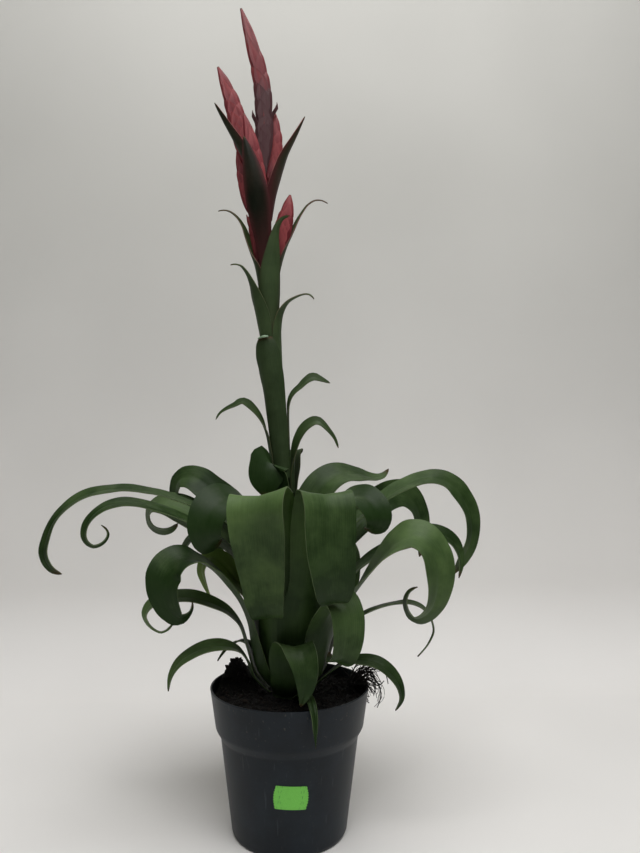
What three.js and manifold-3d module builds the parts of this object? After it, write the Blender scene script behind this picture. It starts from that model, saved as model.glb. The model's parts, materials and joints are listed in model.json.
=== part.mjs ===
// Flaming sword bromeliad in its round nursery pot.
// Millimetres, +Z up. The origin is the middle of the pot's underside, and the plant's best side faces -Y.
// A bearing is a direction seen from above, in degrees counterclockwise from +X.

import * as THREE from "three";
import { mergeVertices } from "three/addons/utils/BufferGeometryUtils.js";
import Module from "manifold-3d";

const wasm = await Module();
wasm.setup();

// ---- Driving dimensions ---------------------------------------------------------------------------------

const POT_HEIGHT = 115;
const POT_RIM_RADIUS = 65;
const POT_FOOT_RADIUS = 46.5;
const POT_WALL = 1.4;
const BAND_BOTTOM_Z = 84; // the stiffening band round the rim starts here
const BAND_BOTTOM_RADIUS = 60.4;
const SHOULDER_Z = 77; // and the wall below it ends here
const SHOULDER_RADIUS = 56.2;
const DRAIN_HOLES = 6;
const DRAIN_RADIUS = 3.5;
const DRAIN_CIRCLE_RADIUS = 34;
const POT_SIDES = 40;

const TOUCH_GAP = 0.3; // between pieces that rest on each other
const SOIL_LEVEL = 107;
const SOIL_HOLE_RADIUS = 17.8;
const SOIL_HOLE_DEPTH = 20;

const CROWN_BOTTOM_Z = SOIL_LEVEL - SOIL_HOLE_DEPTH + TOUCH_GAP; // the short stem that the rosette grows from
const CROWN_TOP_Z = 150;
const STALK_RADIUS = 6; // the flower stalk
const STALK_TOP_RADIUS = 3.2;

const LEAF_THICKNESS = 0.9;
const SHEATH_PITCH = 1.6; // leaf bases lie one over the other, this far apart
const INNERMOST_RADIUS = 7.6;
const NEST_RADIUS = 30.6; // the nest of leaf bases, a little above the soil
const FOOT_TUCK = 12.6; // how far the outermost leaf's foot is drawn in below that
const LEAF_FOOT_Z = SOIL_LEVEL + 2.5; // the outermost leaf's foot
const SHEATH_WIDEST_HALF_ANGLE = 64;
const STEM_TOP_Z = 548;
const STEM_SIDES = 10;

const LEAF_STEP = 26; // spacing of the sections along a blade, in millimetres of length and bend
const BRACT_STEP = 20;
const BEND_WEIGHT = 0.42; // millimetres that one degree of bend counts for

const LEAF_GREEN = "#3c5230";
const BRACT_GREEN = "#39432f";
const SWORD_RED = "#8c3238";
const POT_BLACK = "#23272a";
const SOIL_BROWN = "#1b1714";
const LABEL_GREEN = "#4fe04a";

// ---- The line that the flower stalk follows -------------------------------------------------------------

// The stalk leans a little to the left as it rises. Each entry is [height, sideways].
const STALK_LINE = [
  [0, 0],
  [190, 0],
  [250, -4],
  [283, -6],
  [333, -10],
  [375, -15],
  [442, -19],
  [520, -24],
  [563, -28],
  [600, -31],
];

// The value of [place, value] keys at a place, in straight lines between them.
function keyed(keys, place) {
  if (place <= keys[0][0]) return keys[0][1];
  for (let i = 1; i < keys.length; i++) {
    const [from, a] = keys[i - 1];
    const [to, b] = keys[i];
    if (place <= to) return a + ((b - a) * (place - from)) / (to - from);
  }
  return keys[keys.length - 1][1];
}

// The middle of the stalk at a height.
function stalkAt(z) {
  return new THREE.Vector3(keyed(STALK_LINE, z), 0, z);
}

// ---- Meshes from rings of points ------------------------------------------------------------------------

// A closed skin over rings that all have the same number of points. turned(k) says which way the quad
// after point k is split, so that the two faces of a thin blade are split alike.
function skin(rings, turned = () => false) {
  const count = rings[0].length;
  const positions = rings.flat().flatMap((p) => [p.x, p.y, p.z]);
  const faces = [];
  for (let i = 0; i + 1 < rings.length; i++)
    for (let k = 0; k < count; k++) {
      const next = (k + 1) % count;
      const a = i * count + k;
      const b = i * count + next;
      const c = (i + 1) * count + next;
      const d = (i + 1) * count + k;
      if (turned(k)) faces.push(a, b, d, b, c, d);
      else faces.push(a, b, c, a, c, d);
    }
  return { positions, faces, count, last: (rings.length - 1) * count };
}

function geometryOf({ positions, faces }) {
  return new THREE.BufferGeometry()
    .setAttribute("position", new THREE.Float32BufferAttribute(positions, 3))
    .setIndex(faces);
}

// A solid through rings of a round or oval section, closed by a fan at each end.
function lofted(rings) {
  const made = skin(rings);
  for (let k = 1; k + 1 < made.count; k++) {
    made.faces.push(0, k + 1, k);
    made.faces.push(made.last, made.last + k, made.last + k + 1);
  }
  return geometryOf(made);
}

// A thin sheet from rows of points on its lower and upper face.
function sheet(rows) {
  const strips = rows[0].lower.length - 1;
  const rings = rows.map(({ lower, upper }) => [...lower, ...upper.toReversed()]);
  const made = skin(rings, (k) => k > strips);
  for (let k = 0; k < strips; k++) {
    const [a, b] = [k, k + 1];
    const [c, d] = [2 * strips + 1 - k, 2 * strips - k];
    made.faces.push(a, d, b, a, c, d);
    made.faces.push(made.last + a, made.last + b, made.last + d, made.last + a, made.last + d, made.last + c);
  }
  return geometryOf(made);
}

function meshOf(name, geometry, color, roughness) {
  const mesh = new THREE.Mesh(geometry, new THREE.MeshStandardMaterial({ color, roughness, metalness: 0 }));
  mesh.name = name;
  return mesh;
}

// ---- Booleans -------------------------------------------------------------------------------------------

function solidOf(geometry) {
  const bare = geometry.clone();
  for (const name of Object.keys(bare.attributes)) if (name !== "position") bare.deleteAttribute(name);
  const merged = mergeVertices(bare, 1e-4);
  return new wasm.Manifold(
    new wasm.Mesh({
      numProp: 3,
      vertProperties: merged.attributes.position.array,
      triVerts: new Uint32Array(merged.index.array),
    }),
  );
}

function geometryFrom(solid) {
  const mesh = solid.getMesh();
  return new THREE.BufferGeometry()
    .setAttribute("position", new THREE.BufferAttribute(mesh.vertProperties, 3))
    .setIndex(new THREE.BufferAttribute(mesh.triVerts, 1));
}

function joined(geometries) {
  return geometryFrom(geometries.map(solidOf).reduce((whole, piece) => whole.add(piece)));
}

// ---- Blades: leaves and bracts --------------------------------------------------------------------------

const RADIANS = Math.PI / 180;

// Width along a blade, as a share of its widest: a broad sheath, a slight neck, straps, then a long point.
const STRAP_OUTLINE = [
  [0, 0.8],
  [0.1, 0.95],
  [0.26, 0.8],
  [0.42, 0.98],
  [0.55, 1],
  [0.72, 0.86],
  [0.85, 0.58],
  [0.94, 0.3],
  [1, 0.04],
];
// A broad leaf keeps its width until it turns under.
const BROAD_OUTLINE = [
  [0, 0.8],
  [0.1, 0.95],
  [0.26, 0.8],
  [0.42, 0.95],
  [0.6, 1],
  [0.76, 0.93],
  [0.88, 0.76],
  [0.96, 0.58],
  [1, 0.04],
];
// One that narrows steadily once it has turned over.
const TAPERED_OUTLINE = [
  [0, 0.8],
  [0.1, 0.95],
  [0.26, 0.8],
  [0.42, 0.95],
  [0.58, 1],
  [0.74, 0.88],
  [0.88, 0.68],
  [0.96, 0.54],
  [1, 0.04],
];
// One that has a swollen sheath, then a neck.
const SWOLLEN_OUTLINE = [
  [0, 0.8],
  [0.12, 0.98],
  [0.24, 0.98],
  [0.34, 0.66],
  [0.46, 0.92],
  [0.6, 1],
  [0.76, 0.95],
  [0.88, 0.8],
  [0.96, 0.58],
  [1, 0.04],
];
// A long leaf that dries back keeps its width almost to the end.
const PADDLE_OUTLINE = [
  [0, 0.8],
  [0.1, 0.95],
  [0.26, 0.8],
  [0.42, 0.98],
  [0.55, 1],
  [0.72, 0.82],
  [0.84, 0.62],
  [0.92, 0.6],
  [0.97, 0.4],
  [1, 0.06],
];
// A bract is widest low down, where it clasps the stalk, and runs out to a thin tip.
const BRACT_OUTLINE = [
  [0, 0.75],
  [0.15, 0.95],
  [0.35, 1],
  [0.55, 0.78],
  [0.7, 0.5],
  [0.85, 0.25],
  [1, 0.05],
];
// The long one under the front sword is widest half way.
const SPEAR_OUTLINE = [
  [0, 0.4],
  [0.25, 0.7],
  [0.5, 1],
  [0.75, 0.74],
  [0.9, 0.36],
  [1, 0.05],
];
// Two are blunt.
const BLUNT_OUTLINE = [
  [0, 0.75],
  [0.2, 0.95],
  [0.5, 1],
  [0.75, 0.92],
  [0.9, 0.66],
  [0.97, 0.45],
  [1, 0.08],
];

// Where a blade runs: a point, a heading, the way across it and its upper side, millimetre by millimetre.
// The path is a smooth curve through [out, up, sideways] points, out being away from the plant's middle line.
function bladeRun({ bearing, path, roll = [[0, 0]] }, foot, middle) {
  const towards = bearing * RADIANS;
  const outward = new THREE.Vector3(Math.cos(towards), Math.sin(towards), 0);
  const sideways = new THREE.Vector3(-Math.sin(towards), Math.cos(towards), 0);
  const marks = path.map(([out, up, side = 0]) =>
    middle(up).addScaledVector(outward, out).addScaledVector(sideways, side),
  );
  const curve = new THREE.CatmullRomCurve3([...foot, ...marks], false, "centripetal");
  const length = Math.round(curve.getLength());
  curve.arcLengthDivisions = 2 * length;
  curve.updateArcLengths();
  return curve.getSpacedPoints(length).map((point, s) => {
    const share = s / length;
    const heading = curve.getTangentAt(share);
    const across = sideways.clone().addScaledVector(heading, -sideways.dot(heading)).normalize();
    across.applyAxisAngle(heading, keyed(roll, share) * RADIANS);
    return { s, share, point, heading, across, upper: heading.clone().cross(across) };
  });
}

// Sections closer together where the blade bends or turns over.
function sectionsOf(run, step) {
  const measure = [0];
  for (let i = 1; i < run.length; i++) {
    const bend = run[i].heading.angleTo(run[i - 1].heading) + run[i].across.angleTo(run[i - 1].across);
    measure.push(measure[i - 1] + 1 + (BEND_WEIGHT * bend) / RADIANS);
  }
  const total = measure[measure.length - 1];
  const count = Math.max(5, Math.round(total / step));
  const picked = [];
  for (let n = 0, i = 0; n <= count; n++) {
    while (i + 1 < run.length && measure[i] < (total * n) / count) i++;
    picked.push(run[i]);
  }
  return picked;
}

// One blade as a closed solid. Near its foot the section wraps round the stalk; further out it opens
// to the blade's own channel, given by its half angle.
function bladeGeometry(blade, foot, middle) {
  const {
    width,
    outline = STRAP_OUTLINE,
    channel = [[0, 24], [1, 12]],
    strips = 4,
    thickness = LEAF_THICKNESS,
    step = LEAF_STEP,
  } = blade;
  let wrap = SHEATH_WIDEST_HALF_ANGLE;
  const rows = sectionsOf(bladeRun(blade, foot, middle), step).map(({ share, point, across, upper }) => {
    const inward = middle(point.z).sub(point);
    const reach = inward.length();
    const widest = 2 * reach * SHEATH_WIDEST_HALF_ANGLE * RADIANS;
    const wide = Math.min(Math.max(width * keyed(outline, share), 1.2), widest);
    wrap = Math.min(wrap, wide / 2 / reach / RADIANS);
    const open = keyed(channel, share);
    const half = Math.max(wrap, open) * RADIANS;
    const wrapped = Math.max(0, (wrap - open) / (SHEATH_WIDEST_HALF_ANGLE - open));
    const bow = upper.clone().lerp(inward.normalize(), wrapped).normalize();
    const radius = wide / 2 / half;
    const thick = Math.max(thickness * (1 - 0.3 * share), 0.62);
    const face = (side) =>
      Array.from({ length: strips + 1 }, (_, k) => {
        const angle = (-1 + (2 * k) / strips) * half;
        const normal = bow.clone().multiplyScalar(Math.cos(angle)).addScaledVector(across, -Math.sin(angle));
        return point
          .clone()
          .addScaledVector(across, radius * Math.sin(angle))
          .addScaledVector(bow, radius * (1 - Math.cos(angle)))
          .addScaledVector(normal, (side * thick) / 2);
      });
    return { lower: face(-1), upper: face(1) };
  });
  return sheet(rows);
}

// ---- The rosette ----------------------------------------------------------------------------------------

// From the youngest leaf, inside, to the oldest, outside. A leaf follows the nest up to the height free, then
// runs through the points of path: [out from the plant's middle, height, sideways]. roll turns it about its
// own length, in degrees at shares of that length.
const ROSETTE = [
  {
    name: "leaf_inner_front",
    bearing: 240,
    width: 30,
    strips: 3,
    outline: BROAD_OUTLINE,
    free: 225,
    path: [[21.4, 262], [24.4, 283], [28, 294.5], [32.5, 298], [37, 291], [38.5, 280], [37, 269]],
    roll: [[0.4, 0], [0.6, -38], [1, -40]],
  },
  {
    name: "leaf_inner_back",
    bearing: 113,
    width: 12,
    strips: 3,
    free: 225,
    path: [[21, 268], [38, 283], [53, 274], [59, 256]],
  },
  {
    name: "leaf_wing_right",
    bearing: 27,
    width: 36,
    free: 225,
    path: [[26, 267], [35, 280], [50, 287], [66, 287], [79, 284], [91, 284], [100, 291]],
    roll: [[0.3, 0], [0.55, 30], [0.8, 34], [1, 14]],
  },
  {
    name: "leaf_left_front",
    bearing: 221,
    width: 36,
    outline: BROAD_OUTLINE,
    free: 215,
    path: [
      [31, 251], [47, 264.5], [61, 270], [74, 267], [82, 258], [84, 248],
      [82, 239], [76, 235.5], [69, 239],
    ],
    roll: [[0.5, 0], [0.72, -34], [1, -40]],
  },
  {
    name: "leaf_right_front",
    bearing: 325,
    width: 34,
    outline: BROAD_OUTLINE,
    free: 215,
    path: [[31, 251], [50, 266], [65, 271.5], [75, 267.5], [81.5, 259], [82, 250.5], [77, 246], [70, 247]],
    roll: [[0.5, 0], [0.75, 26], [1, 26]],
  },
  {
    name: "leaf_left_back",
    bearing: 160,
    width: 28,
    strips: 3,
    outline: BROAD_OUTLINE,
    free: 205,
    path: [[26, 230], [44, 252], [67, 269], [91, 284], [104, 282], [108, 270], [104, 259]],
    roll: [[0.45, 0], [0.65, -50], [1, -56]],
  },
  {
    name: "leaf_right_loop",
    bearing: 8,
    width: 22,
    strips: 3,
    outline: BROAD_OUTLINE,
    free: 185,
    path: [
      [28, 212], [46, 239], [80, 266], [104, 279], [124, 284], [141, 279],
      [153, 266], [160, 249], [160, 230], [151, 212], [141, 199],
    ],
    roll: [[0.3, 0], [0.45, 14], [0.6, 20], [0.72, 60], [1, 66]],
  },
  {
    name: "leaf_left_long",
    bearing: 184,
    width: 19,
    outline: PADDLE_OUTLINE,
    strips: 3,
    free: 180,
    path: [
      [30, 220], [56, 249], [81, 262], [106, 271], [138, 276], [163, 272],
      [180, 262], [191, 249], [196, 235], [197, 222], [191, 212], [183, 208],
    ],
    roll: [[0.4, 0], [0.6, -12], [0.85, -40], [1, -60]],
  },
  {
    name: "leaf_back_left",
    bearing: 128,
    width: 34,
    free: 185,
    path: [[33, 216], [53, 244], [80, 256], [105, 241], [113, 212], [106, 188]],
  },
  {
    name: "leaf_back",
    bearing: 104,
    width: 36,
    free: 165,
    path: [[31, 194], [50, 226], [77, 240], [103, 226], [114, 196]],
  },
  {
    name: "leaf_left_spiral",
    bearing: 193,
    width: 16,
    strips: 3,
    free: 165,
    path: [
      [32, 205], [60, 238], [82, 250], [106, 260], [122, 265], [138, 266],
      [152, 261], [161, 250], [162, 239], [156, 233], [148, 236], [145, 243], [150, 249],
    ],
    roll: [[0.4, 0], [0.6, -20], [1, -36]],
  },
  {
    name: "leaf_right_back",
    bearing: 30,
    width: 22,
    strips: 3,
    outline: BROAD_OUTLINE,
    free: 150,
    path: [
      [32, 188], [50, 218], [74, 246], [98, 264], [120, 268], [136, 258],
      [143, 241], [144, 222], [140, 208],
    ],
    roll: [[0.35, 0], [0.55, 60], [0.75, 80], [1, 80]],
  },
  {
    name: "leaf_left_hook",
    bearing: 168,
    width: 24,
    strips: 3,
    free: 155,
    path: [
      [33, 196], [54, 228], [80, 248], [104, 260], [119, 260], [125, 251],
      [119, 241], [107, 239], [98, 245],
    ],
    roll: [[0.4, 0], [0.6, -30], [1, -30]],
  },
  {
    name: "leaf_back_right",
    bearing: 60,
    width: 30,
    strips: 3,
    free: 155,
    path: [[34, 180], [60, 212], [88, 222], [112, 208], [122, 178], [118, 156]],
  },
  {
    name: "leaf_right_thin",
    bearing: 5,
    width: 22,
    strips: 3,
    free: 145,
    path: [[38, 184], [60, 210], [94, 228], [122, 237], [139, 231], [147, 216], [145, 198]],
    roll: [[0.3, 0], [0.55, 10], [0.72, 50], [1, 62]],
  },
  {
    name: "leaf_left_behind",
    bearing: 142,
    width: 22,
    strips: 3,
    free: 150,
    path: [[34, 187], [58, 218], [84, 233], [108, 231], [126, 216], [133, 196]],
  },
  {
    name: "leaf_left_under",
    bearing: 170,
    width: 21,
    strips: 3,
    free: 150,
    path: [[35, 180], [50, 204], [62, 216], [71, 217], [76, 208], [74, 198], [70, 190], [67, 182]],
    roll: [[0.4, 0], [0.6, -40], [0.8, -40]],
  },
  {
    name: "leaf_front_left",
    bearing: 253,
    width: 46,
    outline: TAPERED_OUTLINE,
    free: 150,
    path: [
      [33, 190], [48, 232], [63, 261], [78, 274], [84, 265], [78, 240],
      [67, 206], [61, 188], [54, 181], [48, 186],
    ],
    roll: [[0.35, 0], [0.5, 18], [0.6, 10], [0.72, -8], [0.85, -6]],
  },
  {
    name: "leaf_front_right",
    bearing: 289,
    width: 42,
    outline: SWOLLEN_OUTLINE,
    free: 150,
    path: [
      [38, 190], [54, 230], [67, 261], [77, 275], [84, 268], [87, 240],
      [86, 217, 3], [82, 204, 6], [75, 195, 9], [67, 194, 11],
    ],
  },
  {
    name: "leaf_right_curl",
    bearing: 340,
    width: 36,
    free: 135,
    path: [
      [40, 168], [54, 190], [72, 214], [88, 233], [103, 240], [117, 232],
      [123, 214], [122, 195], [115, 180], [104, 175], [97, 184], [99, 195], [106, 200],
    ],
    roll: [[0.3, 0], [0.55, 32], [0.75, 36], [1, 20]],
  },
  {
    name: "leaf_back_low",
    bearing: 86,
    width: 30,
    strips: 3,
    free: 140,
    path: [[40, 178], [66, 200], [90, 198], [108, 178], [112, 152]],
  },
  {
    name: "leaf_left_curl",
    bearing: 202,
    width: 36,
    free: 140,
    path: [
      [38, 172, 2], [46, 188, 4], [60, 206, 5], [75, 219.5, 5], [89, 223, 3], [100, 217],
      [105, 207], [104, 194], [99, 183], [92, 177], [84, 181], [82, 189],
    ],
    roll: [[0.1, 0], [0.3, -10], [0.5, -5], [0.6, -6], [0.74, -56], [0.9, -56], [1, -30]],
  },
  {
    name: "leaf_right_low_arch",
    bearing: 12,
    width: 16,
    strips: 2,
    free: 133,
    path: [
      [44, 157], [61, 166], [78, 173], [96, 175.5], [113, 173], [124, 164],
      [128, 149], [122, 138], [113, 129],
    ],
    roll: [[0.1, 0], [0.3, -12], [0.6, -6], [0.75, 12], [1, 20]],
  },
  {
    name: "leaf_left_low_arch",
    bearing: 182,
    width: 17,
    strips: 2,
    free: 135,
    path: [
      [44, 167], [62, 181], [84, 187], [101, 186], [113, 182], [118, 173],
      [113, 163], [104, 159], [95, 167],
    ],
    roll: [[0.3, 0], [0.5, -24], [1, -30]],
  },
  {
    name: "leaf_front_low_right",
    bearing: 304,
    width: 26,
    strips: 3,
    outline: BROAD_OUTLINE,
    free: 134,
    path: [
      [41, 165], [55, 185], [65, 194], [73, 190], [77, 177], [75, 161],
      [69, 150], [60, 147], [53, 153],
    ],
    roll: [[0.4, 0], [0.6, 22], [1, 22]],
  },
  {
    name: "leaf_foot_behind",
    bearing: 158,
    width: 11,
    strips: 2,
    free: 128,
    path: [[36, 143], [47, 146], [58, 138], [67, 127]],
  },
  {
    name: "leaf_foot_left",
    bearing: 192,
    width: 15,
    strips: 2,
    free: 126,
    path: [[40, 143], [57, 150], [74, 148], [89, 140], [96, 129], [98, 117]],
    roll: [[0.3, 0], [0.5, -24], [1, -30]],
  },
  {
    name: "leaf_foot_right",
    bearing: 345,
    width: 15,
    strips: 2,
    free: 124,
    path: [[46, 135], [64, 138], [79, 133], [89, 122], [92, 112], [87, 100]],
    roll: [[0.3, 0], [0.5, 24], [1, 30]],
  },
  {
    name: "leaf_front_low",
    bearing: 262,
    width: 25,
    strips: 3,
    free: 124,
    path: [[34, 145, -1], [41, 156, 6], [50, 158, 13], [57, 149, 19], [59, 132, 20], [57, 117, 16]],
  },
  {
    name: "leaf_foot_front",
    bearing: 285,
    width: 9,
    strips: 2,
    free: 116,
    path: [[46, 121], [60, 121], [69, 113], [72, 98], [73, 76]],
  },
];

// The smaller angle between two bearings.
function apart(a, b) {
  const turn = Math.abs(a - b) % 360;
  return Math.min(turn, 360 - turn);
}

// The nest widens upwards like a funnel.
function nestFlare(z) {
  return keyed([[130, 1], [155, 1.12], [180, 1.3], [205, 1.5], [300, 2.2]], z);
}

// How far out each leaf's base lies: clear of every younger leaf whose sheath it covers.
function nestRadii(leaves) {
  const placed = [];
  for (const leaf of leaves) {
    const halfAngle = (radius) => Math.min(SHEATH_WIDEST_HALF_ANGLE, leaf.width / 2 / radius / RADIANS);
    let radius = INNERMOST_RADIUS;
    let covered = true;
    while (covered) {
      covered = placed.some(
        (inner) =>
          radius < inner.radius + SHEATH_PITCH - 1e-6 &&
          apart(inner.bearing, leaf.bearing) < inner.half + halfAngle(radius) + 4,
      );
      if (covered) radius += 0.1;
    }
    placed.push({ bearing: leaf.bearing, radius, half: halfAngle(radius) });
  }
  return placed.map(({ radius }) => radius);
}

// Where a leaf starts on the crown: lower is 0 at the crown's top and 1 at the soil.
function footRadius(lower) {
  return INNERMOST_RADIUS + (NEST_RADIUS - INNERMOST_RADIUS) * lower - FOOT_TUCK * lower ** 2;
}

// A leaf starts on the crown, swells out to its place in the nest and follows the others up until it is free.
function leafFoot({ bearing, free }, radius) {
  const towards = bearing * RADIANS;
  const at = (out, z) => new THREE.Vector3(out * Math.cos(towards), out * Math.sin(towards), z);
  const lower = (radius - INNERMOST_RADIUS) / (NEST_RADIUS - INNERMOST_RADIUS);
  const z = CROWN_TOP_Z + (LEAF_FOOT_Z - CROWN_TOP_Z) * lower;
  const points = [at(footRadius(lower), z)];
  for (let up = z + 12; up <= free; up += 24) points.push(at(radius * nestFlare(up), up));
  return points;
}

function rosetteMeshes() {
  const radii = nestRadii(ROSETTE);
  return ROSETTE.map((leaf, i) => {
    const geometry = bladeGeometry(leaf, leafFoot(leaf, radii[i]), (z) => new THREE.Vector3(0, 0, z));
    return meshOf(leaf.name, geometry, LEAF_GREEN, 0.45);
  });
}

// ---- The stalk and its bracts ---------------------------------------------------------------------------

// Crown and stalk in one piece: a cone under the leaves, then a round stalk up to the topmost sword.
const CROWN_PROFILE = [1, 0.75, 0.5, 0.25, 0].map((lower) => [
  CROWN_TOP_Z + (LEAF_FOOT_Z - CROWN_TOP_Z) * lower,
  footRadius(lower) - LEAF_THICKNESS / 2 - TOUCH_GAP - 0.2,
]);
const STEM_PROFILE = [
  [CROWN_BOTTOM_Z, CROWN_PROFILE[0][1] - 3],
  [CROWN_BOTTOM_Z + 6, CROWN_PROFILE[0][1]],
  ...CROWN_PROFILE,
  [190, STALK_RADIUS],
  [250, STALK_RADIUS],
  [333, STALK_RADIUS],
  [420, STALK_RADIUS],
  [470, STALK_RADIUS - 0.4],
  [520, STALK_RADIUS - 1.6],
  [STEM_TOP_Z, STALK_TOP_RADIUS],
];

function stemMesh() {
  const rings = STEM_PROFILE.map(([z, radius]) => {
    const middle = stalkAt(z);
    return Array.from({ length: STEM_SIDES }, (_, k) => {
      const turn = (k * 2 * Math.PI) / STEM_SIDES;
      return new THREE.Vector3(middle.x + radius * Math.cos(turn), middle.y + radius * Math.sin(turn), z);
    });
  });
  return meshOf("stem", lofted(rings), BRACT_GREEN, 0.55);
}

// From the top down. Each bract wraps the stalk outside the foot of the one above it, then bends away.
const STALK_BRACTS = [
  {
    name: "bract_under_sword_front",
    bearing: 262,
    width: 22,
    outline: SPEAR_OUTLINE,
    path: [[6.9, 456], [8.4, 476], [15, 500, -1], [20.5, 520, -2], [21.5, 541, -4], [19.5, 566, -8]],
  },
  {
    name: "bract_under_sword_right",
    bearing: 340,
    width: 21,
    path: [[6.8, 502], [10.5, 519], [17, 538], [25, 556], [35, 571], [44, 585]],
  },
  {
    name: "bract_under_sword_left",
    bearing: 213,
    width: 15,
    outline: [[0, 0.4], [0.2, 0.55], [0.45, 1], [0.7, 0.72], [1, 0.06]],
    path: [[7.2, 522], [11, 545], [16, 558], [24, 569], [31, 580], [38.5, 592]],
  },
  {
    name: "bract_upper_left",
    bearing: 190,
    width: 18,
    path: [[7.2, 430], [8.6, 455], [14.3, 480], [18.8, 496], [25, 505], [31, 508], [38, 507]],
    roll: [[0.25, 0], [0.5, -36], [0.9, -30]],
  },
  {
    name: "bract_upper_right",
    bearing: 356,
    width: 15,
    path: [[7.2, 432], [10, 454], [16.5, 475], [24.5, 492], [32, 506.5], [39, 515.5], [47, 519], [55, 516]],
    roll: [[0.3, 0], [0.55, 26], [0.9, 26]],
  },
  {
    name: "bract_upper_front",
    bearing: 280,
    width: 22,
    path: [
      [7.5, 403], [8.4, 424], [11, 450, 1], [13, 473, 4],
      [15, 488, 7], [17.5, 498, 12], [19, 501, 19],
    ],
  },
  {
    name: "bract_middle_left",
    bearing: 214,
    width: 24,
    path: [[7.2, 380], [8.6, 400], [12, 424], [17, 446], [26, 459], [35, 458]],
    roll: [[0.6, 0], [0.9, -20]],
  },
  {
    name: "bract_middle_right",
    bearing: 341,
    width: 20,
    path: [[8, 372], [8.4, 394], [9.8, 414], [14, 427], [21, 433], [29, 436], [35, 436.5], [40, 432]],
    roll: [[0.6, 0], [0.9, 24]],
  },
  {
    name: "bract_tall_front",
    bearing: 258,
    width: 26,
    outline: BLUNT_OUTLINE,
    path: [[7.6, 284], [8.6, 320], [10.4, 360], [12, 380, -1], [12.4, 392, -2], [11, 404, -3]],
  },
  {
    name: "bract_lower_right",
    bearing: 8,
    width: 12,
    outline: [[0, 0.8], [0.3, 0.7], [0.5, 0.42], [0.68, 0.45], [0.84, 0.72], [0.92, 0.4], [1, 0.06]],
    path: [
      [7.2, 302], [8.6, 328], [11.4, 349], [16, 356.5], [22, 361.5],
      [28.5, 367], [34.4, 369.5], [40, 367.5], [48, 364.5],
    ],
    roll: [[0.4, 0], [0.65, 62], [1, 60]],
  },
  {
    name: "bract_lower_left",
    bearing: 186,
    width: 13,
    outline: [[0, 0.8], [0.3, 0.75], [0.5, 0.6], [0.68, 0.6], [0.8, 0.34], [1, 0.06]],
    path: [
      [9.4, 290], [10.4, 315], [13.2, 328], [18.5, 339.5], [24, 345.5],
      [28.5, 348], [34, 345.5], [40.6, 342.5], [47, 339], [52, 332.5],
    ],
    roll: [[0.35, 0], [0.6, -60], [1, -54]],
  },
  {
    name: "bract_stub_right",
    bearing: 50,
    width: 17,
    outline: BLUNT_OUTLINE,
    path: [[8.6, 256], [11, 274], [15, 291], [18, 303], [22, 308], [26, 304]],
  },
  {
    name: "bract_lowest_right",
    bearing: 346,
    width: 13,
    outline: [[0, 0.8], [0.25, 0.85], [0.45, 0.8], [0.66, 0.8], [0.76, 0.42], [0.88, 0.28], [1, 0.06]],
    path: [
      [9.4, 272], [10.4, 292], [13, 309], [16, 317], [21, 325], [26.5, 329.5],
      [32.4, 331.5], [37.5, 329], [42, 323.5], [46, 318], [49, 309],
    ],
    roll: [[0.15, 0], [0.4, 48], [0.55, 58], [1, 56]],
  },
];

function bractMeshes() {
  return STALK_BRACTS.map((bract) => {
    const shape = { outline: BRACT_OUTLINE, channel: [[0, 40], [1, 22]], step: BRACT_STEP, ...bract };
    return meshOf(bract.name, bladeGeometry(shape, [], stalkAt), BRACT_GREEN, 0.5);
  });
}

// ---- The swords -----------------------------------------------------------------------------------------

// Each flower spike is a flat sword of boat-shaped bracts in two rows. line runs from its foot to its tip;
// half is half its width, and count its number of bracts.
const SWORDS = [
  {
    name: "sword_top",
    line: [[-26.4, 0, STEM_TOP_Z + 0.3], [-22.8, 1, 585], [-25, 1, 620], [-33.5, 0, 655], [-43, 0, 686]],
    half: 7.2,
    count: 13,
    bare: 0.14,
    scale: 40,
  },
  {
    name: "sword_left",
    line: [[-31.5, 0.5, 538], [-38, 1.5, 560], [-46, 1.5, 590], [-54, 1.5, 615], [-62.5, 1.5, 635]],
    half: 7.5,
    count: 9,
    bare: 0.12,
    scale: 36,
  },
  {
    name: "sword_front",
    line: [[-23.5, -7.6, 488], [-26.5, -13, 520], [-31.5, -15, 556], [-39, -15.5, 586]],
    half: 7,
    count: 8,
    bare: 0.12,
    scale: 36,
  },
  {
    name: "sword_right",
    line: [[-19.6, 3.6, 528], [-15.4, 6, 552], [-13.5, 6, 575], [-14, 6, 598]],
    half: 6.6,
    count: 6,
    bare: 0.1,
    scale: 32,
  },
  {
    name: "sword_left_low",
    line: [[-28.4, 3, 498], [-36, 4, 520], [-41.5, 4, 542], [-46, 4, 563]],
    half: 5,
    count: 5,
    bare: 0.12,
    scale: 30,
  },
  {
    name: "sword_right_low",
    line: [[-13.6, -2, 465], [-8.6, -3, 486], [-4, -3, 505], [-0.6, -3, 523]],
    half: 7.2,
    count: 5,
    bare: 0.1,
    scale: 30,
  },
  {
    name: "sword_bud",
    line: [[-28, 0.3, 462], [-29.9, 0.7, 484], [-37.3, 1, 507]],
    half: 3.4,
    count: 3,
    bare: 0.15,
    scale: 26,
  },
];

// How broad a sword is along its length, as a share of its half width.
const SWORD_OUTLINE = [[0, 0.42], [0.12, 0.7], [0.3, 0.97], [0.5, 1], [0.7, 0.86], [0.88, 0.5], [1, 0.14]];
// One bract from its hidden foot to its tip: [share of its length, keel, middle, back, half thickness].
// The keel, middle and back are distances from the sword's middle line, in shares of its half width there.
const SCALE_SECTIONS = [
  [0, 0.5, 0.1, -0.3, 0.24],
  [0.3, 0.95, 0.1, -0.6, 0.46],
  [0.65, 1.06, 0.25, -0.3, 0.4],
  [0.95, 1.07, 1, 0.84, 0.1],
];

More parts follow.
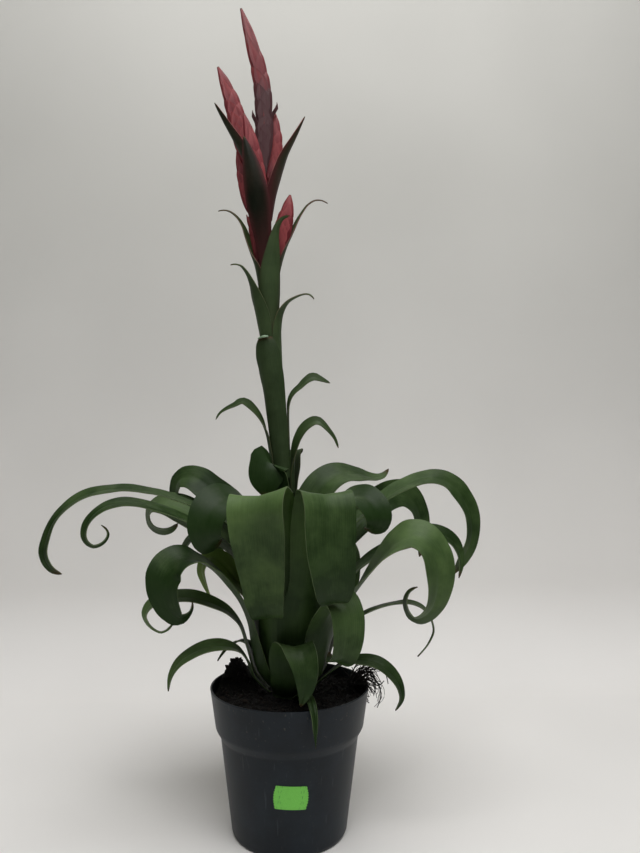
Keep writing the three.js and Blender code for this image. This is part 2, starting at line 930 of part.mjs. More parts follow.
function swordMesh({ name, line, half, count, bare, scale }) {
  const marks = line.map(([x, y, z]) => new THREE.Vector3(x, y, z));
  const curve = new THREE.CatmullRomCurve3(marks, false, "centripetal");
  const at = (share) => {
    const heading = curve.getTangentAt(share);
    const across = new THREE.Vector3(1, 0, 0).addScaledVector(heading, -heading.x).normalize();
    const normal = heading.clone().cross(across);
    const wide = half * keyed(SWORD_OUTLINE, share);
    return { point: curve.getPointAt(share), across, normal, wide };
  };
  const section = (share, keel, middle, back, flank, side) => {
    const { point, across, normal, wide } = at(Math.min(share, 1));
    const place = (over, up) =>
      point.clone().addScaledVector(across, side * over * wide).addScaledVector(normal, side * up * wide);
    return [place(keel, 0), place(middle, flank), place(back, 0), place(middle, -flank)];
  };
  const core = [0, bare, 0.4, 0.7, 0.93].map((share) => section(share, 0.7, 0, -0.7, 0.5, 1));
  const scales = [];
  for (let i = 0; i < count; i++) {
    const place = i / (count - 1);
    const long = (scale / curve.getLength()) * (1 - 0.4 * place);
    const start = bare + (1 - bare - long) * place;
    const side = i % 2 ? 1 : -1;
    scales.push(lofted(SCALE_SECTIONS.map(([u, ...sizes]) => section(start + u * long, ...sizes, side))));
  }
  return meshOf(name, joined([lofted(core), ...scales]), SWORD_RED, 0.5);
}

// ---- Pot, soil, roots and label -------------------------------------------------------------------------

// Turned about Z from [radius, height] points.
function turnedGeometry(profile, sides) {
  const points = profile.map(([radius, z]) => new THREE.Vector2(radius, z));
  return new THREE.LatheGeometry(points, sides).rotateX(Math.PI / 2);
}

const POT_OUTSIDE = [
  [POT_FOOT_RADIUS - 2, 0],
  [POT_FOOT_RADIUS, 2],
  [SHOULDER_RADIUS, SHOULDER_Z],
  [BAND_BOTTOM_RADIUS, BAND_BOTTOM_Z],
  [POT_RIM_RADIUS, POT_HEIGHT],
];
const POT_INSIDE = [
  [POT_FOOT_RADIUS - 2, POT_WALL + 0.6],
  [SHOULDER_RADIUS - POT_WALL, SHOULDER_Z + 0.6],
  [BAND_BOTTOM_RADIUS - POT_WALL, BAND_BOTTOM_Z + 0.6],
  [POT_RIM_RADIUS - POT_WALL, POT_HEIGHT],
];

function potMesh() {
  const profile = [[0, 0], ...POT_OUTSIDE, ...POT_INSIDE.toReversed(), [0, POT_WALL + 0.6]];
  let pot = solidOf(turnedGeometry(profile, POT_SIDES));
  for (let i = 0; i < DRAIN_HOLES; i++) {
    const turn = ((i + 0.5) * 2 * Math.PI) / DRAIN_HOLES;
    const hole = new THREE.CylinderGeometry(DRAIN_RADIUS, DRAIN_RADIUS, 12, 10).rotateX(Math.PI / 2);
    hole.translate(DRAIN_CIRCLE_RADIUS * Math.cos(turn), DRAIN_CIRCLE_RADIUS * Math.sin(turn), 0);
    pot = pot.subtract(solidOf(hole));
  }
  return meshOf("nursery_pot", geometryFrom(pot), POT_BLACK, 0.5);
}

// The soil fills the pot to SOIL_LEVEL. Its top is uneven, with a heap of roots at the back left,
// and the crown stands in a plain hole in its middle.
const SOIL_SIDES = 28;
const SOIL_RINGS = [SOIL_HOLE_RADIUS, 27, 38, 49, 58];
const HEAP_HEIGHT = 13;
const HEAP_RADIUS = 48; // its distance from the middle
const HEAP_WIDTH = 11;
const HEAP_BEARING = 144;
const HEAP_SPREAD = 17; // in degrees round the pot

function soilHeight(radius, turn) {
  const rough = 1.2 * Math.sin(5 * turn + radius / 7) + 0.9 * Math.sin(11 * turn - radius / 4);
  const inHeap = (radius - HEAP_RADIUS) / HEAP_WIDTH;
  const aroundHeap = apart(turn / RADIANS, HEAP_BEARING) / HEAP_SPREAD;
  const heap = HEAP_HEIGHT * Math.exp(-(inHeap ** 2) - aroundHeap ** 2);
  return SOIL_LEVEL + (radius > SOIL_HOLE_RADIUS ? rough : 0) + heap;
}

function soilMesh() {
  const wall = POT_INSIDE.map(([radius, z]) => [radius - TOUCH_GAP, z + (z < 10 ? TOUCH_GAP : 0)]);
  const edge = keyed(wall.map(([radius, z]) => [z, radius]), SOIL_LEVEL);
  const floor = SOIL_LEVEL - SOIL_HOLE_DEPTH;
  const circle = (radius, height) =>
    Array.from({ length: SOIL_SIDES }, (_, k) => {
      const turn = (k * 2 * Math.PI) / SOIL_SIDES;
      return new THREE.Vector3(radius * Math.cos(turn), radius * Math.sin(turn), height(turn));
    });
  const rings = [
    ...wall.slice(0, -1).map(([radius, z]) => circle(radius, () => z)),
    circle(edge, () => SOIL_LEVEL),
    ...SOIL_RINGS.toReversed().map((radius) => circle(radius, (turn) => soilHeight(radius, turn))),
    circle(SOIL_HOLE_RADIUS, () => floor),
  ];
  return meshOf("potting_soil", lofted(rings), SOIL_BROWN, 0.95);
}

// A strip of roots and fibres that has come over the rim at the right.
const ROOT_RADIUS = 0.9;
const ROOT_TIP_RADIUS = 0.45;
const ROOT_STEPS = 5;
const ROOT_SIDES = 5;
const ROOTS = [
  [[53, 7, 112], [60, 9, 119], [67, 10, 121], [72, 12, 112], [71, 14, 100]],
  [[54, 2, 112], [59, 2, 118], [66, 1, 121], [73, -1, 114], [75, -2, 104], [72, -2, 95]],
  [[52, -2, 112], [58, -4, 118], [65, -8, 120], [71, -11, 116], [76, -14, 121]],
  [[52, 10, 112], [59, 13, 121], [66, 17, 126], [71, 22, 125]],
  [[54, 5, 113], [61, 5, 123], [70, 4, 127], [79, 6, 122], [82, 5, 112]],
  [[51, -4, 111], [56, -10, 117], [61, -16, 119], [66, -21, 113]],
];

function rootsMesh() {
  const tangle = new THREE.IcosahedronGeometry(1, 1).scale(7, 9, 3.2).rotateY(0.35).translate(54, 2, 112.2);
  const roots = ROOTS.map((line) => {
    const curve = new THREE.CatmullRomCurve3(line.map(([x, y, z]) => new THREE.Vector3(x, y, z)));
    const { normals, binormals } = curve.computeFrenetFrames(ROOT_STEPS);
    const rings = normals.map((normal, i) => {
      const share = i / ROOT_STEPS;
      const radius = ROOT_RADIUS + (ROOT_TIP_RADIUS - ROOT_RADIUS) * share;
      return Array.from({ length: ROOT_SIDES }, (_, k) => {
        const turn = (k * 2 * Math.PI) / ROOT_SIDES;
        return curve
          .getPointAt(share)
          .addScaledVector(normal, radius * Math.cos(turn))
          .addScaledVector(binormals[i], radius * Math.sin(turn));
      });
    });
    return lofted(rings);
  });
  return meshOf("root_tuft", joined([tangle, ...roots]), SOIL_BROWN, 0.95);
}

// A blank price label, curved to the wall of the pot, with pinked short edges.
const LABEL_WIDTH = 27;
const LABEL_HEIGHT = 18;
const LABEL_THICKNESS = 0.6;
const LABEL_BEARING = 271;
const LABEL_MIDDLE_Z = 48;
const LABEL_TILT = -3;
const LABEL_COLUMNS = 6;
const LABEL_TEETH = 8;

function labelMesh() {
  const slope = (SHOULDER_RADIUS - POT_FOOT_RADIUS) / (SHOULDER_Z - 2);
  const tilt = LABEL_TILT * RADIANS;
  const at = (across, up, gap) => {
    const z = LABEL_MIDDLE_Z + up * Math.cos(tilt) + across * Math.sin(tilt);
    const radius = POT_FOOT_RADIUS + slope * (z - 2) + gap;
    const turn = LABEL_BEARING * RADIANS + (across * Math.cos(tilt) - up * Math.sin(tilt)) / radius;
    return new THREE.Vector3(radius * Math.cos(turn), radius * Math.sin(turn), z);
  };
  const column = (i, gap) =>
    Array.from({ length: LABEL_TEETH + 1 }, (_, k) => {
      const end = i === 0 || i === LABEL_COLUMNS;
      const width = LABEL_WIDTH - (end && k % 2 ? 1.8 : 0);
      return at(width * (i / LABEL_COLUMNS - 0.5), LABEL_HEIGHT * (k / LABEL_TEETH - 0.5), gap);
    });
  const rows = Array.from({ length: LABEL_COLUMNS + 1 }, (_, i) => ({
    lower: column(i, TOUCH_GAP),
    upper: column(i, TOUCH_GAP + LABEL_THICKNESS),
  }));
  return meshOf("price_label", sheet(rows), LABEL_GREEN, 0.4);
}

const group = new THREE.Group();
group.add(potMesh(), labelMesh(), soilMesh(), rootsMesh(), stemMesh());
group.add(...rosetteMeshes(), ...bractMeshes(), ...SWORDS.map(swordMesh));

export default group;
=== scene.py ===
# %% [markdown]
# # A flaming sword bromeliad in its nursery pot
# A bromeliad is a rosette of strap leaves with no trunk. From its middle rises one stalk, wrapped in bracts.
# At the top stand flat red swords, each built from boat-shaped bracts in two rows. The whole plant sits in
# dark peat in a thin black plastic pot.
#
# The CAD model gives the places and the forms in few faces. This script replaces its pieces with finer ones
# that keep those forms, and adds what a solid can't hold: veins, rippled margins, crumbs, roots and gloss.

import json
import random
from math import atan2, copysign, cos, exp, hypot, pi, radians, sin, sqrt

import bmesh
import bpy
from mathutils import Matrix, Vector, noise
from mathutils.kdtree import KDTree

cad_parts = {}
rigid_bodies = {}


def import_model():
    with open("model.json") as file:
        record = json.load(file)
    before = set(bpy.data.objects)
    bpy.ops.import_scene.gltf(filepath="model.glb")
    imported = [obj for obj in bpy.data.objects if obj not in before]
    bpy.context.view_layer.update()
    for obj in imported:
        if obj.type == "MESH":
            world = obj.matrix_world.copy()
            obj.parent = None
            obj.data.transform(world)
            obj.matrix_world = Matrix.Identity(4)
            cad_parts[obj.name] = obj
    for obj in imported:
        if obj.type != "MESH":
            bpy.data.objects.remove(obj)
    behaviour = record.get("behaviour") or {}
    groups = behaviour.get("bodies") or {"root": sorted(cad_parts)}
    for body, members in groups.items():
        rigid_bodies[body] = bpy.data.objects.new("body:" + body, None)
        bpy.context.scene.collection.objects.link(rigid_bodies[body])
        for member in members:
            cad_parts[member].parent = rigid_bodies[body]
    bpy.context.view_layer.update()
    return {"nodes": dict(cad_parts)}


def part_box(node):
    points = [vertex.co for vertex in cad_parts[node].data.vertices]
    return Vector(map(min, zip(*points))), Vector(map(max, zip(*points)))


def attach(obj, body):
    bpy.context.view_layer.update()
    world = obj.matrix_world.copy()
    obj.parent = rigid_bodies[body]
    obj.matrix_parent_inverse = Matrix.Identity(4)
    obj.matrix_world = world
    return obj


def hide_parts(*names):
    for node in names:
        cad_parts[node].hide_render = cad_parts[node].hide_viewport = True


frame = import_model()
scene = bpy.context.scene
MM = 0.001

# %% [markdown]
# ## Small tools for shader nodes
# A material is a tree of nodes. A few helpers keep the trees below short. One adds a node with its inputs
# linked or set, and turns colour codes into the linear light that shaders count in. The others add the sums,
# the soft noise, the mixes and the bumps that every finish here is made of, and they put them into the tree
# that their inputs come from.

# %% Adding nodes


def colour(code):
    """A colour code such as #3c5030, as linear red, green, blue and alpha."""
    parts = [int(code[i : i + 2], 16) / 255 for i in (1, 3, 5)]
    return [c / 12.92 if c <= 0.04045 else ((c + 0.055) / 1.055) ** 2.4 for c in parts] + [1]


def add(tree, kind, inputs=None, **settings):
    """Adds a shader node. An input given a socket is linked. A number or a colour code is set."""
    made = tree.nodes.new("ShaderNode" + kind)
    for name, value in settings.items():
        setattr(made, name, value)
    for name, value in (inputs or {}).items():
        if isinstance(value, bpy.types.NodeSocket):
            tree.links.new(value, made.inputs[name])
        else:
            made.inputs[name].default_value = colour(value) if isinstance(value, str) else value
    return made


def after(kind, inputs, **settings):
    """Adds a shader node to the tree that its first linked input comes from."""
    tree = next(value.id_data for value in inputs.values() if isinstance(value, bpy.types.NodeSocket))
    return add(tree, kind, inputs, **settings)


def maths(operation):
    """A function that adds one kind of sum, with numbers or sockets."""
    return lambda a, b=0.0: after("Math", {0: a, 1: b}, operation=operation).outputs[0]


plus, minus, times, divided = maths("ADD"), maths("SUBTRACT"), maths("MULTIPLY"), maths("DIVIDE")
sine, unsigned = maths("SINE"), maths("ABSOLUTE")


def rise(value, low, high):
    """Goes smoothly from 0 to 1 as value goes from low to high."""
    inputs = {"Value": value, "From Min": low, "From Max": high}
    return after("MapRange", inputs, interpolation_type="SMOOTHSTEP").outputs[0]


def mix(share, a, b, how="MIX"):
    """Colour a with a share of colour b."""
    return after("Mix", {0: share, 6: a, 7: b}, data_type="RGBA", blend_type=how).outputs[2]


def clouds(place, scale, detail, **more):
    """Soft noise over a place, finer with a higher scale. More of the node's inputs may follow."""
    inputs = {"Vector": place, "Scale": scale, "Detail": detail, **more}
    return after("TexNoise", inputs).outputs[0]


def axes(vector):
    """The x, y and z of a vector."""
    return after("SeparateXYZ", {0: vector}).outputs


def bumped(height, strength, depth):
    """The normal of a surface with a relief of height, depth millimetres deep."""
    inputs = {"Height": height, "Strength": strength, "Distance": depth * MM}
    return after("Bump", inputs).outputs[0]


def skin(shown, rough, normal, gloss=0.5, **more):
    """The everyday surface shader, with its colour, roughness and relief. More of its inputs may follow."""
    inputs = {"Base Color": shown, "Roughness": rough, "Normal": normal, "Specular IOR Level": gloss, **more}
    return after("BsdfPrincipled", inputs).outputs[0]


print("node helpers ready; a leaf green is", [round(c, 3) for c in colour("#3c5030")])

# %% [markdown]
# ## Effects that several finishes share
# Leaves, bracts and swords all have lengthwise veins and a pale powder of tiny scales (scurf). Pot, soil and
# leaves all collect dust. Each effect is a node group, made once, that puts out masks and heights only. A
# material then decides what colour and how much. The vein pattern follows a piece's own UV map, which is in
# metres across and along the blade, so the veins run with the blade wherever it bends.

# %% A node group with named inputs and outputs


def new_group(name, inputs, outputs):
    """An empty group, with the sockets that feed it and the sockets that it fills."""
    tree = bpy.data.node_groups.new(name, "ShaderNodeTree")
    for label, kind, value in inputs:
        socket = tree.interface.new_socket(name=label, in_out="INPUT", socket_type="NodeSocket" + kind)
        if kind == "Float":
            socket.default_value = value
    for label in outputs:
        tree.interface.new_socket(name=label, in_out="OUTPUT", socket_type="NodeSocketFloat")
    return tree, tree.nodes.new("NodeGroupInput").outputs, tree.nodes.new("NodeGroupOutput").inputs


def stretched(surface, across, along):
    """A surface vector stretched differently across and along."""
    inputs = {0: surface, 1: (across, along, 1)}
    return after("VectorMath", inputs, operation="MULTIPLY").outputs[0]


# %% Lengthwise veins
VEINS, into, out = new_group(
    "lengthwise veins",
    [("Surface", "Vector", None), ("Spacing", "Float", 0.001)],
    ["Vein", "Stripe", "Height"],
)
blade_uv = into["Surface"]
drift = times(clouds(blade_uv, 40, 1), 0.0012)
turns = divided(plus(axes(blade_uv)[0], drift), into["Spacing"])
regular = rise(sine(times(turns, 2 * pi)), 0.2, 1.0)
broken = rise(clouds(stretched(blade_uv, 900, 14), 5, 3), 0.42, 0.68)
both = times(regular, plus(times(broken, 0.8), 0.2))
broad = clouds(stretched(blade_uv, 260, 7), 5, 4, Roughness=0.6)
VEINS.links.new(both, out["Vein"])
VEINS.links.new(rise(broad, 0.34, 0.66), out["Stripe"])
VEINS.links.new(plus(both, times(broken, 0.5)), out["Height"])
print("group made:", VEINS.name)

# %% Scurf, the pale powder of tiny scales
SCURF, into, out = new_group("scurf", [("Surface", "Vector", None), ("Amount", "Float", 0.5)], ["Amount"])
blade_uv = into["Surface"]
specks = rise(clouds(blade_uv, 2600, 2), 0.4, 0.75)
patches = rise(clouds(stretched(blade_uv, 60, 22), 5, 3), 0.35, 0.7)
bands = rise(clouds(stretched(blade_uv, 8, 240), 5, 2), 0.5, 0.8)
powder = plus(times(specks, patches), times(bands, 0.12))
SCURF.links.new(times(powder, into["Amount"]), out["Amount"])
print("group made:", SCURF.name)

# %% Dust that settles on what faces up
DUST, into, out = new_group(
    "settled dust",
    [("Place", "Vector", None), ("Facing", "Vector", None), ("Amount", "Float", 0.5)],
    ["Amount"],
)
upward = rise(axes(into["Facing"])[2], -0.1, 0.9)
cloudy = rise(clouds(into["Place"], 55, 5, Roughness=0.7), 0.38, 0.7)
grainy = rise(clouds(into["Place"], 1500, 2), 0.35, 0.7)
film = times(times(cloudy, grainy), upward)
DUST.links.new(times(film, into["Amount"]), out["Amount"])


def dusty(place, amount):
    """How thickly dust lies on a surface."""
    facing = add(place.id_data, "NewGeometry").outputs["Normal"]
    inputs = {"Place": place, "Facing": facing, "Amount": amount}
    return after("Group", inputs, node_tree=DUST).outputs[0]


print("group made:", DUST.name)

# %% [markdown]
# ## Leaf, bract and sword finishes
# A leaf's upper face is deep green and softly glossy, its underside greyer and duller, and its margin is a
# thin pale line. All finishes of leaves, bracts and swords come from one function, because they are one
# tissue. Light also passes through a leaf, so a little of a translucent shader is mixed in. Three numbers
# ride on each blade's points: share, from 0 at the foot to 1 at the tip, tint, which is its shade from dark
# to light, and flush, which says how far it has turned to the blush colour.

# %% Finishes of living tissue


def empty_material(name):
    """A material whose tree holds only its output."""
    made = bpy.data.materials.new(name)
    made.use_nodes = True
    tree = made.node_tree
    for node in list(tree.nodes):
        if node.type != "OUTPUT_MATERIAL":
            tree.nodes.remove(node)
    return made, tree, tree.get_output_node("ALL").inputs["Surface"]


def mark(tree, name):
    """A number that rides on the points of a mesh."""
    return add(tree, "Attribute", attribute_name=name).outputs["Fac"]


def tissue(name, dark, light, blush, vein, rough, powder=0.5, spacing=1.5, clear=0.14, gloss=0.26):
    """Plant tissue: dark to light in soft blotches, then blush, veins, powder, dust and a dry tip."""
    made, tree, surface = empty_material(name)
    uv = add(tree, "UVMap").outputs[0]
    place = add(tree, "TexCoord").outputs["Object"]
    veins = after("Group", {"Surface": uv, "Spacing": spacing * MM}, node_tree=VEINS).outputs
    scurf = after("Group", {"Surface": uv, "Amount": powder}, node_tree=SCURF).outputs[0]
    dust = dusty(place, 0.1)
    blotch = clouds(place, 28, 4, Roughness=0.6)
    uneven = minus(blotch, 0.5)
    shade = plus(times(rise(blotch, 0.3, 0.72), 0.5), times(veins["Stripe"], 0.12))
    shade = plus(shade, minus(mark(tree, "tint"), 0.3))
    shown = mix(after("Clamp", {"Value": shade}).outputs[0], dark, light)
    ragged = plus(mark(tree, "flush"), times(uneven, 0.5))
    shown = mix(rise(ragged, 0.2, 0.9), shown, blush)
    shown = mix(times(veins["Vein"], 0.07), shown, vein)
    shown = mix(times(scurf, 0.08), shown, "#8f9c7c")
    shown = mix(dust, shown, "#9d9a8a")
    dry = plus(mark(tree, "share"), times(uneven, 0.05))
    shown = mix(rise(dry, 0.965, 1.0), shown, "#4a3a24")
    normal = bumped(plus(veins["Height"], times(scurf, 0.6)), 0.09, 0.12)
    dull = plus(times(scurf, 0.25), times(dust, 0.3))
    through = mix(0.35, mix(0.5, shown, "#8fb53a", "MULTIPLY"), "#7c9c34")
    glow = after("BsdfTranslucent", {"Color": through, "Normal": normal}).outputs[0]
    face = skin(shown, plus(rough, dull), normal, gloss)
    tree.links.new(after("MixShader", {0: clear, 1: face, 2: glow}).outputs[0], surface)
    return made


LEAF = [
    tissue("leaf upper face", "#1e3312", "#5b7444", "#6c8440", "#66804a", 0.42, gloss=0.17),
    tissue("leaf underside", "#263b1a", "#4f6a36", "#708636", "#647c50", 0.48, powder=0.8, gloss=0.18),
    tissue("leaf margin", "#5d6f49", "#7b8a63", "#8b9a50", "#8f9b78", 0.5, clear=0.3),
]
BRACT = [
    tissue("bract inner face", "#26381a", "#475a34", "#5a2a2c", "#556846", 0.45, spacing=0.9, gloss=0.2),
    tissue("bract outer face", "#1a2813", "#485a39", "#3a2022", "#566a44", 0.48, spacing=0.9, gloss=0.16),
    tissue("bract margin", "#4d5238", "#6a6d4c", "#7c4a4a", "#858a68", 0.5, spacing=0.9, clear=0.3),
]
DARK_BRACT = [
    tissue("dark bract inner face", "#3a2420", "#5f3a36", "#7c4444", "#6f4a44", 0.48, spacing=0.9, gloss=0.2),
    tissue("dark bract outer face", "#11170d", "#3b3b2c", "#50292b", "#45483a", 0.5, spacing=0.9, gloss=0.12),
    tissue("dark bract margin", "#5c3f3a", "#7c544e", "#94605a", "#8a6058", 0.5, spacing=0.9, clear=0.3),
]
SWORD = [
    tissue("sword bract inside", "#5c2027", "#722e34", "#45292d", "#84464a", 0.5, spacing=0.7),
    tissue("sword bract", "#6c262f", "#934245", "#4e3034", "#a4605c", 0.4, powder=0.9, spacing=0.7,
           clear=0.06),
    # The margin's lighter colour is partly the bract's own pale edge and partly a painted highlight on the
    # raised margins.
    tissue("sword bract margin", "#8c4442", "#ab675f", "#5f4a4b", "#b07a72", 0.5, spacing=0.7, clear=0.15),
]
FOLD = tissue("pale folded lip", "#7d977a", "#a9bfa2", "#a9bfa2", "#b8c9b2", 0.5, clear=0.3)
print("tissues:", [m.name for m in LEAF + BRACT + DARK_BRACT + SWORD + [FOLD]])

# %% [markdown]
# ## Reading a blade from the CAD model
# Every leaf and bract of the CAD model is a closed sheet through a few cross-sections. To build a finer blade
# on the same form, we find those sections again. The tip is where most points crowd together. From there the
# sections follow ring by ring, since each point is joined by edges to the next ring. Halfway between the two
# faces lies the blade's middle surface, and a smooth surface through that is the form of the leaf.

# %% From a CAD mesh to rows of points
TIP_REACH = 1.4 * MM  # wider than the tip of a blade, and shorter than the first step along it
STALK_LINE = [  # how far to the side the stalk is at each height
    (0, 0), (190, 0), (250, -4), (283, -6), (333, -10), (375, -15), (442, -19), (520, -24), (600, -31),
]


def keyed(keys, place):
    """The value of (place, value) keys at a place, in straight lines between them."""
    if place <= keys[0][0]:
        return keys[0][1]
    for (a, low), (b, high) in zip(keys, keys[1:]):
        if place <= b:
            return low + (high - low) * (place - a) / (b - a)
    return keys[-1][1]


def stalk_at(height):
    """The middle of the stalk at a height."""
    return Vector((keyed(STALK_LINE, height / MM) * MM, 0, height))


def rings_of(mesh):
    """The rings of points of a blade, tip first, as sets."""
    tree = KDTree(len(mesh.verts))
    for i, point in enumerate(mesh.verts):
        tree.insert(point.co, i)
    tree.balance()
    mesh.verts.ensure_lookup_table()
    crowd = {v: [mesh.verts[i] for _, i, _ in tree.find_range(v.co, TIP_REACH)] for v in mesh.verts}
    for start in sorted(mesh.verts, key=lambda v: -len(crowd[v])):
        ring, rings, seen = set(crowd[start]), [], set()
        while ring:
            rings.append(ring)
            seen |= ring
            ring = {e.other_vert(v) for v in ring for e in v.link_edges} - seen
        if len({len(ring) for ring in rings}) == 1:
            return rings
    raise ValueError("no rings found")


def neighbours(point, ring):
    """The points of a ring that a point is joined to."""
    return {e.other_vert(point) for e in point.link_edges} & ring


def walked(ring):
    """A ring's points in order round it."""
    order = [next(iter(ring))]
    while len(order) < len(ring):
        order.append(next(v for v in neighbours(order[-1], ring) if v not in order))
    return order


def matched(order, ring):
    """The next ring's points, in the order of this ring's. The point with one choice left goes first."""
    choices = [neighbours(point, ring) for point in order]
    found = [None] * len(order)
    for _ in order:
        k = min((i for i in range(len(order)) if found[i] is None), key=lambda i: len(choices[i]))
        found[k] = next(iter(choices[k]))
        for others in choices:
            others.discard(found[k])
    return found


# %% The middle surface of a blade


def middle_rows(name):
    """Rows of points across a blade's middle surface, foot first, its upper side on the left of the row."""
    mesh = bmesh.new()
    mesh.from_mesh(frame["nodes"][name].data)
    bmesh.ops.remove_doubles(mesh, verts=mesh.verts, dist=0.005 * MM)
    rings = rings_of(mesh)
    width_of = lambda i: max((v.co - w.co).length for v in rings[i] for w in rings[i])
    wide = max(range(1, len(rings) - 1), key=width_of)
    orders = {wide: walked(rings[wide])}
    for i in range(wide, len(rings) - 1):
        orders[i + 1] = matched(orders[i], rings[i + 1])
    for i in range(wide, 0, -1):
        orders[i - 1] = matched(orders[i], rings[i - 1])
    count = len(orders[wide])
    pairings = [[((k + i) % count, (k - 1 - i) % count) for i in range(count // 2)] for k in range(count)]
    spread = lambda pairs: sum((orders[wide][a].co - orders[wide][b].co).length for a, b in pairs)
    best = min(pairings, key=spread)
    rows = [[(orders[i][a].co + orders[i][b].co) / 2 for a, b in best] for i in reversed(range(len(rings)))]
    mesh.free()
    low = rows[1][len(rows[1]) // 2]
    along = rows[2][len(rows[2]) // 2] - low
    if (rows[1][-1] - rows[1][0]).cross(along).dot(stalk_at(low.z) - low) < 0:
        rows = [row[::-1] for row in rows]
    return rows


sample = middle_rows("leaf_front_left")
print("leaf_front_left:", len(sample), "rows of", len(sample[0]), "points")

# %% [markdown]
# ## Building a blade
# A blade is a flat grid that is bent onto a smooth surface through those rows. The grid comes from a bmesh
# operator, so its faces and its UV map are already in order. The smooth surface is a pair of splines, one
# along the blade and one across it. On top come the habits of the leaf: a shallow channel along its middle,
# and margins that ripple a little once they are free. Solidify then gives the sheet its thickness, with the
# upper face, the underside and the rim in their own materials.

# %% Smooth curves through rows of points


def distances(points, least=0.0):
    """How far along a line each of its points lies. No step counts as shorter than least."""
    knots = [0.0]
    for a, b in zip(points, points[1:]):
        knots.append(knots[-1] + max((b - a).length, least))
    return knots


def slopes(knots, points):
    """The direction in which a smooth curve passes each of its points."""
    steps = [(points[i + 1] - points[i]) / (knots[i + 1] - knots[i]) for i in range(len(points) - 1)]
    inner = []
    for i in range(1, len(points) - 1):
        back, ahead = knots[i] - knots[i - 1], knots[i + 1] - knots[i]
        inner.append((steps[i] * back + steps[i - 1] * ahead) / (back + ahead))
    first = 1.5 * steps[0] - 0.5 * inner[0] if inner else steps[0]
    last = 1.5 * steps[-1] - 0.5 * inner[-1] if inner else steps[-1]
    return [first, *inner, last]


def along_curve(knots, points, lean, place):
    """The point at a place on a smooth curve."""
    i = max(0, min(len(knots) - 2, next((n for n, k in enumerate(knots) if k > place), len(knots)) - 1))
    span = knots[i + 1] - knots[i]
    t = (place - knots[i]) / span
    blend = t * t * (3 - 2 * t)
    start = points[i] + (points[i + 1] - points[i]) * blend
    return start + lean[i] * span * t * (1 - t) ** 2 - lean[i + 1] * span * t * t * (1 - t)


def smooth_line(points):
    """A function that gives the point at a share of a smooth line, with the line's length."""
    knots = distances(points)
    lean = slopes(knots, points)
    return (lambda share: along_curve(knots, points, lean, share * knots[-1])), knots[-1]


def smooth_surface(rows):
    """A function of (across -1..1, along 0..1) that gives a point, with the surface's length."""
    knots = distances([sum(row, Vector()) / len(row) for row in rows], least=0.1 * MM)
    columns = list(zip(*rows))
    leans = [slopes(knots, column) for column in columns]
    ticks = list(range(len(columns)))
    kept = {}  # the last row worked out, since a sheet asks for one row at a time

    def point(across, along):
        if along not in kept:
            row = [along_curve(knots, c, lean, along * knots[-1]) for c, lean in zip(columns, leans)]
            kept.clear()
            kept[along] = (row, slopes(ticks, row))
        row, lean = kept[along]
        return along_curve(ticks, row, lean, (across + 1) / 2 * ticks[-1])

    return point, knots[-1]


print("leaf_front_left is", round(smooth_surface(sample)[1] / MM), "mm long")

# %% A finished piece from a bmesh


def shown_as(name, data):
    """A new object in the scene, for a mesh, a lamp or a camera."""
    made = bpy.data.objects.new(name, data)
    scene.collection.objects.link(made)
    return made


def object_from(name, mesh, materials=()):
    """Turns a bmesh into an object with its materials."""
    data = bpy.data.meshes.new(name)
    mesh.to_mesh(data)
    mesh.free()
    for material in materials:
        data.materials.append(material)
    return shown_as(name, data)


def piece_from(name, mesh, materials, node):
    """A smooth-shaded piece that rides on the plant, and stands for a CAD node if one is named."""
    made = object_from(name, mesh, materials)
    made.data.shade_smooth()
    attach(made, "root")
    if node:
        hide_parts(node)
    return made


def make_real(piece, crease=50):
    """Applies a piece's modifiers, keeps edges that turn more than crease degrees sharp, counts the faces."""
    seen = piece.evaluated_get(bpy.context.evaluated_depsgraph_get())
    solid = bpy.data.meshes.new_from_object(seen)
    piece.modifiers.clear()
    piece.data = solid
    solid.set_sharp_from_angle(angle=radians(crease))
    return len(solid.polygons)


def thickened(piece, thickness, offset=0.0, layered=False):
    """Gives a sheet its thickness. A layered one has a second material below, and a third at its rim."""
    solid = piece.modifiers.new("thickness", "SOLIDIFY")
    solid.thickness = thickness
    solid.offset = offset
    if layered:
        solid.material_offset = 1
        solid.material_offset_rim = 2
    return make_real(piece)


# %% A bent grid


def layers_of(mesh):
    """A mesh's UV map and the three numbers on its points, made if it has none yet."""
    uv, marks = mesh.loops.layers.uv, mesh.verts.layers.float
    uv_map = uv.get("UVMap") or uv.new("UVMap")
    return uv_map, {name: marks.get(name) or marks.new(name) for name in ("share", "tint", "flush")}


def bent_sheet(mesh, columns, rows, place, width, length, tint, flush=None):
    """Adds to mesh a grid bent by place(across, along). Its UV map is in metres."""
    uv, marks = layers_of(mesh)
    made = bmesh.ops.create_grid(mesh, x_segments=columns, y_segments=rows, size=1, calc_uvs=False)["verts"]
    faces = {face for point in made for face in point.link_faces}
    for face in faces:
        for loop in face.loops:
            loop[uv].uv = (loop.vert.co.x * width / 2, (loop.vert.co.y + 1) / 2 * length)
    for point in sorted(made, key=lambda v: v.co.y):
        across, along = point.co.x, (point.co.y + 1) / 2
        point[marks["share"]] = along
        point[marks["tint"]] = tint(across, along) if callable(tint) else tint
        point[marks["flush"]] = flush(across, along) if flush else 0.0
        point.co = place(across, along)
    return made


